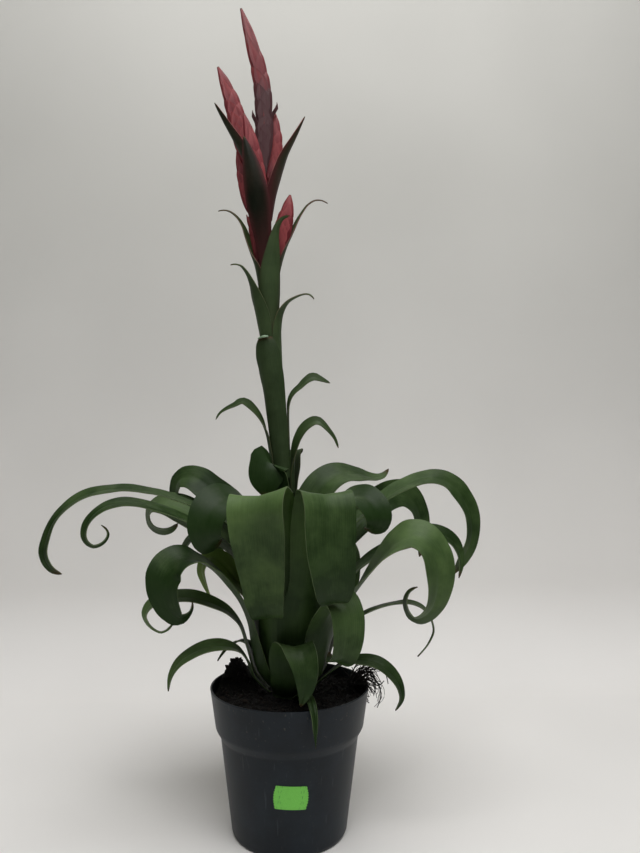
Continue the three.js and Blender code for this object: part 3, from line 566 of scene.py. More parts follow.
# %% Leaf blades
LEAF_ROW = 2.2 * MM  # the length of one row of faces
SHAPED = {  # what the tip loses in mm, and how wide the blade is along its length, against the CAD blade
    "leaf_foot_front": (15, [(0.3, 1.0), (0.6, 0.68), (0.85, 0.45), (1, 0.0)]),
    "leaf_left_hook": (0, [(0.35, 1.0), (0.6, 1.6), (1, 1.8)]),
    "leaf_inner_front": (0, [(0.3, 1.0), (0.5, 1.3), (1, 1.3)]),
    "leaf_right_back": (0, [(0.4, 1.0), (0.6, 1.25), (1, 1.25)]),
    "bract_tall_front": (3.5, [(0.8, 1.0), (0.92, 1.2), (1, 1.7)]),
}
CHANNEL_WIDTH = 0.17  # of the half width
RIPPLE_LENGTH, WRINKLE_LENGTH, FINE_WRINKLE = 26 * MM, 9 * MM, 0.3 * MM
NO_CHANGE = (0, [(0, 1.0)])
rng = random.Random(11)


def rise_between(value, low, high):
    """Goes smoothly from 0 to 1 as value goes from low to high."""
    t = max(0.0, min(1.0, (value - low) / (high - low)))
    return t * t * (3 - 2 * t)


def uv_across(point, mesh, width):
    """How far across the blade a point is, -1 to 1, from its UV map."""
    return point.link_loops[0][mesh.loops.layers.uv["UVMap"]].uv.x / (width / 2)


def blade(name, materials, columns, tint, flush, thickness, channel, ripple, free, wrinkle=0.35):
    """A fine blade on the form of a CAD blade. It ripples and wrinkles from the share called free on."""
    rows = middle_rows(name)
    tip = sum(rows[-1], Vector()) / len(rows[-1])
    surface, length = smooth_surface(rows)
    width = max(distances(row)[-1] for row in rows)
    seed = rng.uniform(0, 100)
    lost, widths = SHAPED.get(name, NO_CHANGE)
    reach = 1 - lost * MM / length

    def place(across, along):
        spot = along * reach
        if spot > 0.999:
            return tip
        centre = surface(0, spot)
        return centre + (surface(across, spot) - centre) * keyed(widths, along)

    mesh = bmesh.new()
    count = max(24, round(length / LEAF_ROW))
    sheet = bent_sheet(mesh, columns, count, place, width, length, tint, flush)
    mesh.normal_update()
    share = mesh.verts.layers.float["share"]
    for point in sheet:
        along, across = point[share], uv_across(point, mesh, width)
        loose = rise_between(along, free, free + 0.15) * (1 - 0.75 * rise_between(along, 0.85, 1))
        dip = -channel * exp(-((across / CHANNEL_WIDTH) ** 2)) * (0.3 + 0.7 * loose)
        run = along * length
        wave = noise.noise(Vector((across * 0.7, run / RIPPLE_LENGTH, seed))) * abs(across) ** 2.5
        fine = noise.noise(Vector((across * 1.6, run / WRINKLE_LENGTH, seed + 7)))
        point.co += point.normal * (dip + ripple * wave * loose + wrinkle * FINE_WRINKLE * fine * loose)
    bmesh.ops.remove_doubles(mesh, verts=mesh.verts, dist=0.02 * MM)
    return thickened(piece_from(name + "_blade", mesh, materials, name), thickness, layered=True)


# %% [markdown]
# ## Leaves
# Most leaves are deep green. Some are paler, and a few turn yellow-green with age, so a leaf has a tint and a
# flush of its own. Leaves that lie in shade are given darker tints, which is painted shade. Each leaf is also
# painted darker at its foot, where the others shade it, and towards its tip, as painted shade. A loop over
# the CAD model's leaves makes them all, so that they differ only in numbers.

# %% All the leaves
# Each leaf's tone is partly its own and partly painted shade: leaves that lie in shade are set darker.
LEAF_TONES_AND_SHADE = {
    "leaf_front_left": 1.0, "leaf_front_right": 0.75, "leaf_left_front": 0.05, "leaf_left_curl": 0.15,
    "leaf_inner_front": 0.0, "leaf_right_front": 0.2, "leaf_left_under": 1.0, "leaf_front_low": 0.25,
    "leaf_foot_front": 0.1, "leaf_left_low_arch": 1.0, "leaf_foot_left": 0.8, "leaf_right_curl": 0.6,
    "leaf_right_loop": 0.4, "leaf_left_long": 0.2, "leaf_left_spiral": 0.2, "leaf_left_back": 0.2,
}
YELLOWER = {"leaf_left_under": 0.9, "leaf_front_left": 0.28, "leaf_right_curl": 0.25, "leaf_front_low": 0.15}
# How much painted shade darkens each leaf towards its tip; the other leaves get 0.15.
PAINTED_TIP_SHADE = {"leaf_front_left": 0.85, "leaf_front_right": 0.75, "leaf_left_front": 0.4, "leaf_left_curl": 0.3}
leaf_names = sorted(name for name in frame["nodes"] if name.startswith("leaf_"))
faces = 0
for name in leaf_names:
    own, old = LEAF_TONES_AND_SHADE.get(name, rng.uniform(0.2, 0.5)), YELLOWER.get(name, rng.uniform(0.0, 0.2))
    tip_shade = PAINTED_TIP_SHADE.get(name, 0.15)

    # Painted shade: the tint is darker at the foot, where other leaves shade it, and darker towards the tip.
    def shaded(across, along):
        return own * (0.15 + 0.85 * rise_between(along, 0.28, 0.46)) - tip_shade * rise_between(along, 0.5, 0.88)

    def yellowed(across, along):
        return old * rise_between(along, 0.1, 0.6)

    faces += blade(
        name, LEAF, columns=12, tint=shaded, flush=yellowed,
        thickness=0.75 * MM, channel=0.7 * MM, ripple=1.8 * MM, free=0.34,
    )
print(len(leaf_names), "leaves,", faces, "faces")

# %% [markdown]
# ## Bracts on the stalk
# The stalk's bracts are short leaves that clasp it. Low down they are green, and beneath the swords they are
# a maroon that can be almost black. Their form is read from the CAD model in the same way. The blush is
# stronger at the foot and along the margins, so it is worked out point by point.

# %% Bract blades
BLUSH = {
    "bract_under_sword_front": 0.85, "bract_under_sword_right": 0.95, "bract_under_sword_left": 0.8,
    "bract_upper_left": 0.6, "bract_upper_right": 0.75, "bract_upper_front": 0.5, "bract_middle_right": 0.35,
    "bract_middle_left": 0.15,
}
BRACT_TINTS = {
    "bract_under_sword_front": -0.1, "bract_under_sword_right": 0.8, "bract_under_sword_left": 0.65,
    "bract_upper_front": 0.75, "bract_upper_left": 0.8, "bract_upper_right": 0.7, "bract_middle_left": 0.75,
    "bract_middle_right": 0.7, "bract_tall_front": 0.45, "bract_lower_left": 0.5,
}
MAROON_FROM = 0.78  # a bract that has blushed more than this has the dark finishes
bract_names = sorted(name for name in frame["nodes"] if name.startswith("bract_"))
faces = 0
for name in bract_names:
    depth = BLUSH.get(name, 0.0)

    def reddened(across, along):
        return depth * min(1.0, 0.3 + 0.75 * abs(across) ** 4 + max(0.0, 0.55 - along) * 1.2)

    faces += blade(
        name, DARK_BRACT if depth > MAROON_FROM else BRACT, columns=10,
        tint=BRACT_TINTS.get(name, 0.4), flush=reddened, thickness=0.65 * MM, channel=0.35 * MM,
        ripple=0.8 * MM, free=0.45, wrinkle=0.2,
    )
print(len(bract_names), "bracts,", faces, "faces")

# %% [markdown]
# ## A folded lip
# The tallest bract has lost its tip. Its torn end has folded over into a pale lip. This is a small grid of
# its own, bent outwards over rather more than half a turn along the torn edge.

# %% The lip
rows = middle_rows("bract_tall_front")
surface, length = smooth_surface(rows)
TORN_END = 1 - 4.2 * MM / length  # the share of the bract's length at which it has torn


def lip_place(across, along):
    """A lip that rises from the torn end, leans out and turns down again."""
    middle = surface(0, TORN_END)
    edge = middle + (surface(0.15 + 0.65 * across, TORN_END) - middle) * 1.7
    outward = ((edge - stalk_at(edge.z)) * Vector((1, 1, 0))).normalized()
    turn = radians(200) * along
    size = (1.6 - 0.6 * abs(across + 0.3)) * MM
    raised = Vector((0, 0, size * (1.1 * sin(turn) + 0.25)))
    return edge + outward * size * (1.15 - cos(turn)) + raised


mesh = bmesh.new()
bent_sheet(mesh, 12, 10, lip_place, 9 * MM, 6 * MM, 0.5)
lip = piece_from("bract_tall_front_lip", mesh, [FOLD], None)
print("folded lip:", thickened(lip, 0.5 * MM, offset=-1), "faces")

# %% [markdown]
# ## Stem
# The short crown and the flower stalk are one stem. Only slits of it show between the bracts. A circle is
# extruded ring by ring, and each ring is then scaled, turned and moved to its place on the stalk's line,
# which is how one would pull a stalk up in the editor. Swords and roots use the same tube.

# %% A tube drawn along a line


def tube(mesh, points, radii, sides, tint=0.5):
    """Extrudes a circle along points, with a radius at each. Both ends are closed."""
    uv, marks = layers_of(mesh)
    ring = bmesh.ops.create_circle(mesh, segments=sides, radius=1, cap_ends=True)["verts"]
    unit = [v.co.copy() for v in ring]
    edges = list({e for v in ring for e in v.link_edges})
    rings = [ring]
    for _ in points[1:]:
        pulled = bmesh.ops.extrude_edge_only(mesh, edges=edges)["geom"]
        edges = [g for g in pulled if isinstance(g, bmesh.types.BMEdge)]
        new = [g for g in pulled if isinstance(g, bmesh.types.BMVert)]
        ring = [next(e.other_vert(old) for e in old.link_edges if e.other_vert(old) in new) for old in ring]
        rings.append(ring)
    bmesh.ops.contextual_create(mesh, geom=edges)
    reach = 0.0
    for i, (ring, centre, radius) in enumerate(zip(rings, points, radii)):
        ahead = (points[min(i + 1, len(points) - 1)] - points[max(i - 1, 0)]).normalized()
        turn = Vector((0, 0, 1)).rotation_difference(ahead).to_matrix()
        reach += (centre - points[i - 1]).length if i else 0.0
        for k, (point, spot) in enumerate(zip(ring, unit)):
            point.co = centre + turn @ Vector((spot.x * radius, spot.y * radius, 0))
            point[marks["share"]] = 0.9 * i / len(points)  # stays short of the dry tip of a blade
            point[marks["tint"]] = tint
            for loop in point.link_loops:
                loop[uv].uv = (2 * pi * radius * k / sides, reach)
    faces = list({face for ring in rings for point in ring for face in point.link_faces})
    bmesh.ops.recalc_face_normals(mesh, faces=faces)


foot, top = [corner.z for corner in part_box("stem")]
STEM = [  # its radius at each height
    (87.3, 11), (93, 14), (109.5, 14.2), (130, 11), (150, 8), (190, 6), (250, 6), (333, 6), (420, 6),
    (470, 5.6), (520, 4.4), (548, 3.2),
]
heights = [foot + (top - foot) * n / 90 for n in range(91)]
mesh = bmesh.new()
tube(mesh, [stalk_at(z) for z in heights], [keyed(STEM, z / MM) * MM for z in heights], 28)
piece_from("stem_stalk", mesh, [BRACT[1]], "stem")
print("stem:", round((top - foot) / MM), "mm tall")

# %% [markdown]
# ## Swords
# A sword is flat. Its bracts stand in two rows, left and right, each folded along a keel that makes the
# sword's edge, with two wings that lie over the faces and hide the foot of the bract above. A wing's margin
# runs slantwise, from far down on the other side up to the keel's tip, and that gives the sword its pattern
# of slanting lines. One bract is a bent grid, its keel in the grid's middle, and a sword repeats it upwards.

# %% The line of a sword
SWORDS = {
    "sword_top": dict(
        line=[(-25, 0, 536), (-22.8, 1, 585), (-25, 1, 620), (-33.5, 0, 655), (-43, 0, 686)],
        half=7.2, count=18, bare=0.0, scale=38,
    ),
    "sword_left": dict(
        line=[(-31.5, 0.5, 538), (-38, 1.5, 560), (-46, 1.5, 590), (-54, 1.5, 615), (-62.5, 1.5, 635)],
        half=7.5, count=12, bare=0.12, scale=34,
    ),
    "sword_front": dict(
        line=[(-23.5, -7.6, 488), (-26.5, -13, 520), (-31.5, -15, 556), (-39, -15.5, 586)],
        half=7, count=11, bare=0.12, scale=34,
    ),
    "sword_right": dict(
        line=[(-19.6, 3.6, 528), (-15.4, 6, 552), (-13.5, 6, 575), (-14, 6, 598)],
        half=6.6, count=9, bare=0.1, scale=30,
    ),
    "sword_left_low": dict(
        line=[(-28.4, 3, 498), (-36, 4, 520), (-41.5, 4, 542), (-46, 4, 563)],
        half=5, count=8, bare=0.12, scale=28,
    ),
    "sword_right_low": dict(
        line=[(-13.6, -2, 465), (-8.6, -3, 486), (-4, -3, 505), (-0.6, -3, 523)],
        half=7.2, count=8, bare=0.1, scale=28,
    ),
    "sword_bud": dict(
        line=[(-28, 0.3, 462), (-29.9, 0.7, 484), (-37.3, 1, 507)],
        half=3.4, count=5, bare=0.15, scale=22,
    ),
}
SWORD_OUTLINE = [(0, 0.6), (0.12, 0.85), (0.28, 1.04), (0.5, 1.02), (0.7, 0.88), (0.88, 0.52), (1, 0.1)]


def sword_frame(line):
    """A function that gives the point, the way across and the way out of the face at a share of a sword."""
    spot, length = smooth_line([Vector(p) * MM for p in line])

    def at(share):
        heading = (spot(min(share + 0.01, 1)) - spot(max(share - 0.01, 0))).normalized()
        across = (Vector((1, 0, 0)) - heading * heading.x).normalized()
        return spot(share), across, heading.cross(across)

    return at, length


for name, shape in SWORDS.items():
    print(name, "is", round(sword_frame(shape["line"])[1] / MM), "mm long")

# %% One boat-shaped bract
KEEL = [(0, 0.45), (0.25, 0.86), (0.55, 1.0), (0.82, 1.04), (1, 0.9)]
MARGIN = [(0, -0.5), (0.3, -0.8), (0.55, -0.55), (0.78, 0.05), (0.93, 0.66), (1, 0.9)]


def boat(mesh, at, start, long, side, half, reach, tint, dusk, stand, closing):
    """One bract on a sword, from share start, its keel on the side given. Its tip can stand off, or close."""

    def place(across, along):
        share = min(start + along * long, 1.0)
        where, over, outward = at(share)
        wide = half * keyed(SWORD_OUTLINE, share)
        off = stand * rise_between(along, 0.6, 0.88)
        keel = keyed(KEEL, along) + off
        keel += (1.02 - keel) * closing * rise_between(along, 0.7, 0.9)
        # Both are measured from the sword's middle, in half widths. The wings lie between them.
        margin = keyed(MARGIN, along)
        margin += (min(margin, -0.4) - margin) * closing
        if off > 0.05:
            margin = max(margin, keel - 0.35 * (1 - rise_between(along, 0.8, 1)))
        # Near the keel a wing curves quickly out of the fold, and then it lies flat over the face.
        depth = abs(across) * (keel - margin)
        flank = (0.34 + 0.14 * along) * (1 - exp(-depth / 0.3)) + 0.025 * abs(across) ** 5 * along
        rounded = copysign(flank, across) if across else 0.0
        return where + over * side * (keel - depth) * wide + outward * rounded * wide

    # Painted highlight and painted shade: each bract is lighter towards its margins, where the raised margins
    # catch the light, and darker at its foot, in the shade of the bract below.
    def painted_margin_light_and_foot_shade(across, along):
        return tint + 0.7 * abs(across) ** 3 - 0.6 * (1 - along)

    def flush(across, along):
        return dusk(start + (0.25 + 0.5 * along) * long) + 0.2 * abs(across) ** 6

    made = bent_sheet(mesh, 12, 12, place, half * 3, reach * long, painted_margin_light_and_foot_shade, flush)
    if side > 0:
        bmesh.ops.reverse_faces(mesh, faces=list({face for point in made for face in point.link_faces}))
    bmesh.ops.remove_doubles(mesh, verts=made, dist=0.02 * MM)


# %% All the swords
# The top sword is oldest. Its lower bracts have gone dusky, and the tips of two of them stand off.
fresh = lambda share: 0.3 * max(0.0, 0.5 - share)
DUSKY = {"sword_top": lambda share: 1.0 - 0.62 * rise_between(share, 0.42, 0.6)}
STANDING = {("sword_top", 4): 0.4, ("sword_top", 5): 0.65}


def sword(name, line, half, count, bare, scale):
    """One sword: a thin core, and on it count bracts, to the left and right by turns."""
    at, reach = sword_frame(line)
    mesh = bmesh.new()
    wide = half * MM
    core = [bare * 0.5 + (0.95 - bare * 0.5) * n / 14 for n in range(15)]
    radii = [wide * 0.3] + [wide * 0.4 * keyed(SWORD_OUTLINE, s) for s in core]
    tube(mesh, [at(s)[0] for s in [0, *core]], radii, 10)
    for i in range(count):
        share = i / (count - 1)
        long = scale * MM / reach * (1 - 0.4 * share)
        start = bare + (1 - bare - long) * share
        closing = rise_between(share, 0.6, 0.85)
        long += (1 - start - long) * closing
        side, tint = 1 if i % 2 else -1, rng.uniform(0.35, 0.85)
        dusk, stand = DUSKY.get(name, fresh), STANDING.get((name, i), 0.0)
        boat(mesh, at, start, long, side, wide, reach, tint, dusk, stand, closing)
    return thickened(piece_from(name + "_spike", mesh, SWORD, name), 0.4 * MM, layered=True)


for name, shape in SWORDS.items():
    print(name, sword(name, **shape), "faces")

# %% [markdown]
# ## Pot
# A nursery pot is blown or moulded thin, with a stiffening band round the rim and holes in its floor. Its
# profile is half a section through the wall, drawn as a chain of points. Bevelling the chain's corners first
# and spinning it afterwards gives every edge its radius at once.

# %% The pot's finish
POT, tree, surface = empty_material("pot plastic")
place = add(tree, "TexCoord").outputs["Object"]
dust = dusty(place, 0.14)
cloud = clouds(place, 30, 6, Roughness=0.65)
grain = clouds(place, 2200, 3)
scuffs = rise(clouds(stretched(place, 300, 300), 1, 4), 0.64, 0.72)
near_rim = rise(axes(place)[2], 70 * MM, 113 * MM)
splashes = rise(clouds(place, 420, 2), 0.66, 0.72)
spots = times(splashes, plus(times(near_rim, 0.7), 0.2))
shown = mix(rise(cloud, 0.3, 0.75), "#0f161c", "#1a232b")
shown = mix(times(scuffs, 0.16), shown, "#5c6367")
shown = mix(times(spots, 0.35), shown, "#6a655a")
shown = mix(dust, shown, "#7d7a70")
rough = plus(times(cloud, 0.14), 0.36)
rough = plus(rough, times(plus(dust, spots), 0.3))
normal = bumped(plus(grain, times(cloud, 4)), 0.18, 0.1)
tree.links.new(skin(shown, rough, normal, gloss=0.22), surface)
print("finish made:", POT.name)

# %% The pot's wall
WALL = [
    (0, 1.2), (40, 1.2), (42, 0), (45, 0), (46.6, 2.4), (56.2, 77), (60.3, 84), (64.6, 113.2), (65, 115),
    (63.4, 115), (62.9, 112), (59, 85), (54.8, 77.6), (44.6, 3.2), (0, 2.6),
]
ROUNDED = {2: 0.6, 3: 0.6, 4: 1.2, 5: 1.2, 6: 1.6, 7: 0.5, 8: 0.5, 9: 0.5, 10: 0.5, 12: 1.2, 13: 1.5}


def drawn(mesh, points):
    """Draws a chain of edges through points, and returns its points and its edges."""
    chain = [mesh.verts.new(point) for point in points]
    return chain, [mesh.edges.new(pair) for pair in zip(chain, chain[1:])]


def spun(mesh, steps):
    """Spins a profile once round the pot's axis, and closes it."""
    bmesh.ops.spin(mesh, geom=mesh.verts[:] + mesh.edges[:], axis=(0, 0, 1), cent=(0, 0, 0),
                   angle=2 * pi, steps=steps, use_merge=True)
    bmesh.ops.remove_doubles(mesh, verts=mesh.verts, dist=0.01 * MM)
    bmesh.ops.recalc_face_normals(mesh, faces=mesh.faces)


def round_axis(radius, turn):
    """The x and y of a place at a distance and an angle round the pot's axis."""
    return radius * cos(turn), radius * sin(turn)


mesh = bmesh.new()
chain, _ = drawn(mesh, [(r * MM, 0, z * MM) for r, z in WALL])
for index, size in ROUNDED.items():
    bmesh.ops.bevel(mesh, geom=[chain[index]], offset=size * MM, offset_type="OFFSET", affect="VERTICES",
                    segments=4, profile=0.5, material=-1)
spun(mesh, 128)
pot = piece_from("nursery_pot_wall", mesh, [POT], "nursery_pot")
print("pot wall:", len(pot.data.polygons), "faces")

# %% Its drain holes
HOLES, HOLE_RING, HOLE_RADIUS = 6, 34 * MM, 3.5 * MM
holes = bmesh.new()
for n in range(HOLES):
    spot = Matrix.Translation((*round_axis(HOLE_RING, (n + 0.5) * 2 * pi / HOLES), 2 * MM))
    bmesh.ops.create_cone(holes, cap_ends=True, segments=24, radius1=HOLE_RADIUS, radius2=HOLE_RADIUS,
                          depth=12 * MM, matrix=spot)
cutter = object_from("drain_holes", holes)
cut = pot.modifiers.new("drain holes", "BOOLEAN")
cut.object = cutter
cut.operation = "DIFFERENCE"
cut.solver = "EXACT"
print("pot with drain holes:", make_real(pot, crease=35), "faces")
bpy.data.objects.remove(cutter)

# %% [markdown]
# ## Price label
# A small neon label is stuck to the wall. Labels like this come off a roll with zigzag ends, and short slits
# let them tear if somebody peels them. It is bare here. A grid is bent round the pot's taper, its two ends
# follow a zigzag, and one corner has lifted a little.

# %% The label's finish
SLIT_PLACE, SLIT_BOW, DASH = 8.6 * MM, 0.22, 4.2 * MM
LABEL, tree, surface = empty_material("label paper")
uv = add(tree, "UVMap").outputs[0]
fibre = clouds(uv, 1800, 3)
crease = clouds(uv, 140, 3, Distortion=1.2)
over, up, _ = axes(uv)
slit = unsigned(minus(unsigned(over), SLIT_PLACE))
bow = times(unsigned(minus(up, 9 * MM)), SLIT_BOW)
beside = rise(unsigned(minus(slit, bow)), 0.08 * MM, 0.22 * MM)
dashes = rise(sine(times(up, 2 * pi / DASH)), -0.3, 0.1)
cut = times(minus(1.0, beside), dashes)
shown = mix(rise(fibre, 0.3, 0.75), "#62b83c", "#7acb52")
shown = mix(times(rise(crease, 0.5, 0.7), 0.25), shown, "#4fa034")
shown = mix(times(cut, 0.7), shown, "#1f6a2a")
relief = minus(plus(times(crease, 3), fibre), times(cut, 2))
rough = plus(times(fibre, 0.15), 0.35)
# A faint painted glow: the label gives off its own colour as light, so that the neon paper looks bright.
painted_glow = {"Emission Color": shown, "Emission Strength": 0.06}
tree.links.new(skin(shown, rough, bumped(relief, 0.25, 0.08), **painted_glow), surface)
print("finish made:", LABEL.name)

# %% The label on the wall
LABEL_SIZE = (27 * MM, 18 * MM)
LABEL_TEETH = 9
LABEL_HEIGHT, LABEL_TURN, LABEL_TILT = 48 * MM, radians(271), radians(-3)
TAPER = [(z, r + 0.25) for r, z in WALL[4:6]]  # a quarter millimetre off the wall


def label_place(across, along):
    """A place on the label, on the pot's taper. One upper corner has lifted."""
    zigzag = abs((along * LABEL_TEETH) % 1 - 0.5) * 2
    corner = abs(2 * along - 1) ** 2.2 * 2.0
    reach = LABEL_SIZE[0] / 2 - (0.7 * zigzag + corner) * MM * abs(across) ** 12
    x, y = across * reach, (along - 0.5) * LABEL_SIZE[1]
    z = LABEL_HEIGHT + y * cos(LABEL_TILT) + x * sin(LABEL_TILT)
    lift = 0.9 * MM * max(0.0, across - 0.72) * max(0.0, along - 0.6) * 8
    radius = keyed(TAPER, z / MM) * MM + lift
    turn = LABEL_TURN + (x * cos(LABEL_TILT) - y * sin(LABEL_TILT)) / radius
    return Vector((*round_axis(radius, turn), z))


mesh = bmesh.new()
bent_sheet(mesh, 48, LABEL_TEETH * 6, label_place, *LABEL_SIZE, 0.5)
bmesh.ops.recalc_face_normals(mesh, faces=mesh.faces)
label = piece_from("price_label_paper", mesh, [LABEL], "price_label")
print("label:", thickened(label, 0.18 * MM), "faces")

# %% [markdown]
# ## Potting soil
# Wet peat is almost black, coarse and fibrous. The body of the soil fills the pot and has a rough top, with a
# heap at the back left. Over it lie crumbs, which are small rough spheres squashed and turned at random, and
# short fibres. They are many, so each has only a few faces.

# %% Soil and root finishes


def earthy(name, dark, light, rough, scale):
    """Peat, bark or root: dark, with lighter fibres and a rough, broken surface."""
    made, tree, surface = empty_material(name)
    place = add(tree, "TexCoord").outputs["Object"]
    clumps = clouds(place, scale, 8, Roughness=0.75)
    strands = clouds(stretched(place, 2, 9), scale, 4, Distortion=1.5)
    shade = plus(rise(clumps, 0.35, 0.8), minus(mark(tree, "tint"), 0.5))
    shown = mix(after("Clamp", {"Value": shade}).outputs[0], dark, light)
    shown = mix(times(rise(strands, 0.6, 0.72), 0.4), shown, "#3a3027")
    shown = mix(dusty(place, 0.12), shown, "#4c4740")
    normal = bumped(plus(clumps, strands), 0.8, 0.9)
    tree.links.new(skin(shown, plus(times(clumps, 0.3), rough), normal, gloss=0.3), surface)
    return made


PEAT = earthy("peat", "#080808", "#191614", 0.7, 260)
BARK = earthy("crumbs and bark", "#0a0908", "#29211a", 0.7, 420)
ROOT = earthy("dark roots", "#0a0908", "#211b16", 0.55, 700)
print("finishes made:", PEAT.name, BARK.name, ROOT.name)

# %% The body of the soil
SOIL_LEVEL = 107 * MM
SOIL_EDGE = 61 * MM
HEAP_DISTANCE, HEAP_BEARING, HEAP_HEIGHT = 54 * MM, radians(148), 21 * MM
HEAP_WIDTH, HEAP_SPREAD = 12 * MM, radians(16)


def soil_height(x, y):
    """The height of the soil's top at a place."""
    radius, turn = hypot(x, y), atan2(y, x)
    apart = abs((turn - HEAP_BEARING + pi) % (2 * pi) - pi)
    heap = exp(-(((radius - HEAP_DISTANCE) / HEAP_WIDTH) ** 2) - (apart / HEAP_SPREAD) ** 2)
    lumps = noise.fractal(Vector((x, y, 0)) / (9 * MM), 1.0, 2.0, 5) * 1.6 * MM
    return SOIL_LEVEL + HEAP_HEIGHT * heap + lumps


mesh = bmesh.new()
profile = [(0, 3.2), (43.6, 3.6), (53.6, 77.5), (58, 85), (60.6, 104)]
profile += [(61 - 1.25 * n, 107) for n in range(41)] + [(0, 107)]
drawn(mesh, [(r * MM, 0, z * MM) for r, z in profile])
spun(mesh, 180)
tint = mesh.verts.layers.float.new("tint")
for point in mesh.verts:
    point[tint] = 0.4
    if point.co.z > SOIL_LEVEL - 1 * MM and point.co.xy.length > 14 * MM:
        point.co.z = soil_height(point.co.x, point.co.y)
soil = piece_from("potting_soil_body", mesh, [PEAT], "potting_soil")
print("soil body:", len(soil.data.polygons), "faces")

# %% Crumbs
CRUMBS = 1500
rng = random.Random(23)


def any_way():
    """A random step in any direction."""
    return Vector((rng.gauss(0, 1), rng.gauss(0, 1), rng.gauss(0, 1)))


mesh = bmesh.new()
tint = mesh.verts.layers.float.new("tint")
for _ in range(CRUMBS):
    x, y = round_axis(sqrt(rng.uniform(0.1, 1)) * 60 * MM, rng.uniform(0, 2 * pi))
    size = rng.uniform(0.5, 1.1) * MM if rng.random() < 0.8 else rng.uniform(1.2, 2.4) * MM
    where = Matrix.Translation((x, y, soil_height(x, y) + 0.2 * size))
    turned = Matrix.Rotation(rng.uniform(0, 6.3), 4, any_way())
    shape = Matrix.Diagonal((size * rng.uniform(0.8, 1.7), size, size * rng.uniform(0.4, 0.9), 1))
    crumb = bmesh.ops.create_icosphere(mesh, subdivisions=1, radius=1, matrix=where @ turned @ shape)["verts"]
    shade = rng.uniform(0.1, 0.7) if rng.random() < 0.93 else rng.uniform(0.9, 1.3)
    for point in crumb:
        point.co += any_way() * size * 0.12
        point[tint] = shade
crumbs = piece_from("soil_crumbs", mesh, [BARK], None)
print("crumbs:", len(crumbs.data.polygons), "faces")

# %% Fibres
FIBRES = 150


def wandering(start, heading, length, steps, droop):
    """A line of points that wanders as a root does."""
    points, ahead = [start], heading.normalized()
    for _ in range(steps):
        ahead = (ahead + any_way() * 0.3 + Vector((0, 0, -droop))).normalized()
        points.append(points[-1] + ahead * (length / steps))
    return points


mesh = bmesh.new()
for _ in range(FIBRES):
    x, y = round_axis(rng.uniform(22, 57) * MM, rng.uniform(0, 2 * pi))
    way = Vector((rng.gauss(0, 1), rng.gauss(0, 1), rng.uniform(-0.1, 0.4)))
    start = Vector((x, y, soil_height(x, y) + 0.4 * MM))
    line = wandering(start, way, rng.uniform(6, 16) * MM, 5, 0.15)
    inside = [p for p in line if p.xy.length < SOIL_EDGE]
    line = [Vector((p.x, p.y, max(p.z, soil_height(p.x, p.y) + 0.2 * MM))) for p in inside]
    if len(line) > 2:
        tube(mesh, line, [rng.uniform(0.18, 0.4) * MM] * len(line), 4, tint=rng.uniform(0.3, 1.1))
fibres = piece_from("soil_fibres", mesh, [ROOT], None)
print("fibres:", len(fibres.data.polygons), "faces")

# %% [markdown]
# ## Roots over the rim
# At the right a tuft of old roots has come over the rim. Each root is a thin tube on a wandering line. The
# stout ones follow the lines of the CAD model, and finer ones start among them.

# %% The tuft
ROOTS = [
    [(53, 7, 112), (60, 9, 119), (67, 10, 121), (72, 12, 112), (71, 14, 100)],
    [(54, 2, 112), (59, 2, 118), (66, 1, 121), (73, -1, 114), (75, -2, 104), (72, -2, 95)],
    [(52, -2, 112), (58, -4, 118), (65, -8, 120), (71, -11, 116), (76, -14, 121)],
    [(52, 10, 112), (59, 13, 121), (66, 17, 126), (71, 22, 125)],
    [(54, 5, 113), (61, 5, 123), (70, 4, 127), (79, 6, 122), (82, 5, 112)],
    [(51, -4, 111), (56, -10, 117), (61, -16, 119), (66, -21, 113)],
]
COPIES = 9  # of each line. The first is the stout one, and the others are finer, looser and shorter
LOOSE_ROOTS = 70


def root_line(marks, jitter, steps=14):
    """Points on a smooth line near marks, each off by jitter millimetres or so."""
    points = [Vector(p) * MM + Vector([rng.gauss(0, jitter) * MM for _ in range(3)]) for p in marks]
    spot, _ = smooth_line(points)
    return [spot(n / steps) for n in range(steps + 1)]


mesh = bmesh.new()
for marks in ROOTS:
    for copy in range(COPIES):
        stout = (0.85 if copy == 0 else rng.uniform(0.26, 0.6)) * MM
        line = root_line(marks, 0.2 if copy == 0 else 2.6)
        line = line[: rng.randint(8, 15)] if copy else line
        radii = [stout * (1 - 0.6 * n / len(line)) for n in range(len(line))]
        tube(mesh, line, radii, 5, tint=rng.uniform(0.1, 0.9))
for _ in range(LOOSE_ROOTS):
    start = Vector((rng.uniform(49, 59), rng.uniform(-9, 13), rng.uniform(109, 114))) * MM
    way = Vector((rng.gauss(0.3, 1), rng.gauss(0, 1), rng.uniform(0, 0.8)))
    line = wandering(start, way, rng.uniform(8, 20) * MM, 7, 0.12)
    tube(mesh, line, [rng.uniform(0.15, 0.4) * MM] * len(line), 4, tint=rng.uniform(0.1, 0.8))
roots = piece_from("root_tuft_strands", mesh, [ROOT], "root_tuft")
print("roots:", len(roots.data.polygons), "faces")

# %% [markdown]
# ## Floor, backdrop, light and camera
# The floor and the backdrop are one sheet of pale paper with a soft bend between them. The paper is painted a
# shade darker higher up, a painted shade that evens out the light from above. From behind the paper is clear,
# so that it never hides the plant, and past its edges the eye sees air of the same pale grey. Light comes
# from one large soft source above and a little in front, with weak fill before, behind and all round.

# %% Floor and backdrop
PAPER, tree, surface = empty_material("studio paper")
place = add(tree, "TexCoord").outputs["Object"]
weave = rise(clouds(place, 2.2, 2), 0.3, 0.7)
height = axes(place)[2]
low = mix(weave, "#e6e4e1", "#efedea")
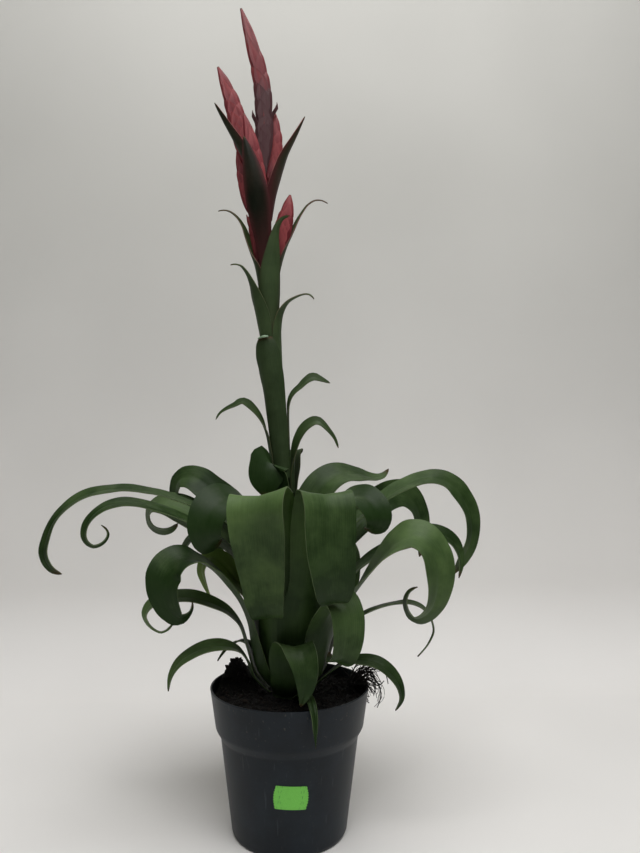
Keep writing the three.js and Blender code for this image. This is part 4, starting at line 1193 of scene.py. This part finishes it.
# Painted shade: the paper's colour is darker higher up, to even out the light from above.
high = mix(weave, "#b7b6b1", "#c0bfba")
sheet = {"Base Color": mix(rise(height, -0.05, 0.75), low, high), "Roughness": 0.85}
behind = add(tree, "NewGeometry").outputs["Backfacing"]
paper = after("BsdfPrincipled", sheet).outputs[0]
clear = add(tree, "BsdfTransparent").outputs[0]
tree.links.new(after("MixShader", {0: behind, 1: paper, 2: clear}).outputs[0], surface)

BEND_START, BEND_RADIUS, PAPER_TOP, PAPER_FRONT, PAPER_WIDTH = 0.30, 0.12, 2.4, -1.5, 2.6
bend = [(sin(pi / 2 * n / 12), 1 - cos(pi / 2 * n / 12)) for n in range(13)]
line = [(0, BEND_START + BEND_RADIUS * out, BEND_RADIUS * up) for out, up in bend]
mesh = bmesh.new()
_, edges = drawn(mesh, [(0, PAPER_FRONT, 0), *line, (0, BEND_START + BEND_RADIUS, PAPER_TOP)])
swept = bmesh.ops.extrude_edge_only(mesh, edges=edges)["geom"]
swept = [g for g in swept if isinstance(g, bmesh.types.BMVert)]
bmesh.ops.translate(mesh, vec=(-PAPER_WIDTH, 0, 0), verts=swept)
bmesh.ops.translate(mesh, vec=(PAPER_WIDTH / 2, 0, 0), verts=mesh.verts)
mesh.normal_update()
if sum(face.normal.z for face in mesh.faces) < 0:
    bmesh.ops.reverse_faces(mesh, faces=mesh.faces)
sweep = object_from("studio_sweep", mesh, [PAPER])
sweep.data.shade_smooth()
print("studio sweep:", len(sweep.data.polygons), "faces")

# %% Lights


def soft_light(name, place, aim, size, power):
    """A square light of a size in metres and a power in watts, pointed at aim."""
    lamp = bpy.data.lights.new(name, "AREA")
    lamp.size = size
    lamp.energy = power
    made = shown_as(name, lamp)
    made.location = place
    made.rotation_euler = (Vector(aim) - Vector(place)).to_track_quat("-Z", "Y").to_euler()
    made.visible_camera = False


soft_light("overhead", (0.1, -0.45, 1.45), (0, 0, 0.2), 1.1, 19.5)
soft_light("front fill", (-0.6, -1.6, 0.9), (0, 0, 0.3), 1.0, 0.25)
soft_light("back fill", (0.6, 1.6, 0.9), (0, 0, 0.3), 1.0, 0.8)
world = bpy.data.worlds.new("studio air")
world.use_nodes = True
tree = world.node_tree
air = tree.nodes["Background"].inputs
air["Color"].default_value = (1.0, 0.98, 0.95, 1)
seen = add(tree, "LightPath").outputs["Is Camera Ray"]
tree.links.new(plus(times(seen, 0.4), 0.1), air["Strength"])
scene.world = world
scene.view_settings.view_transform = "Standard"
print("lights:", [lamp.name for lamp in bpy.data.lights])

# %% Camera
lens = bpy.data.cameras.new("studio camera")
lens.sensor_width = 36
lens.lens = 29.12
lens.clip_start = 0.01
camera = shown_as("studio camera", lens)
camera.location = (0, -0.578, 0.302)
camera.rotation_euler = (radians(92.5), 0, radians(-2.46))
scene.camera = camera
print("camera at", [round(c, 3) for c in camera.location])
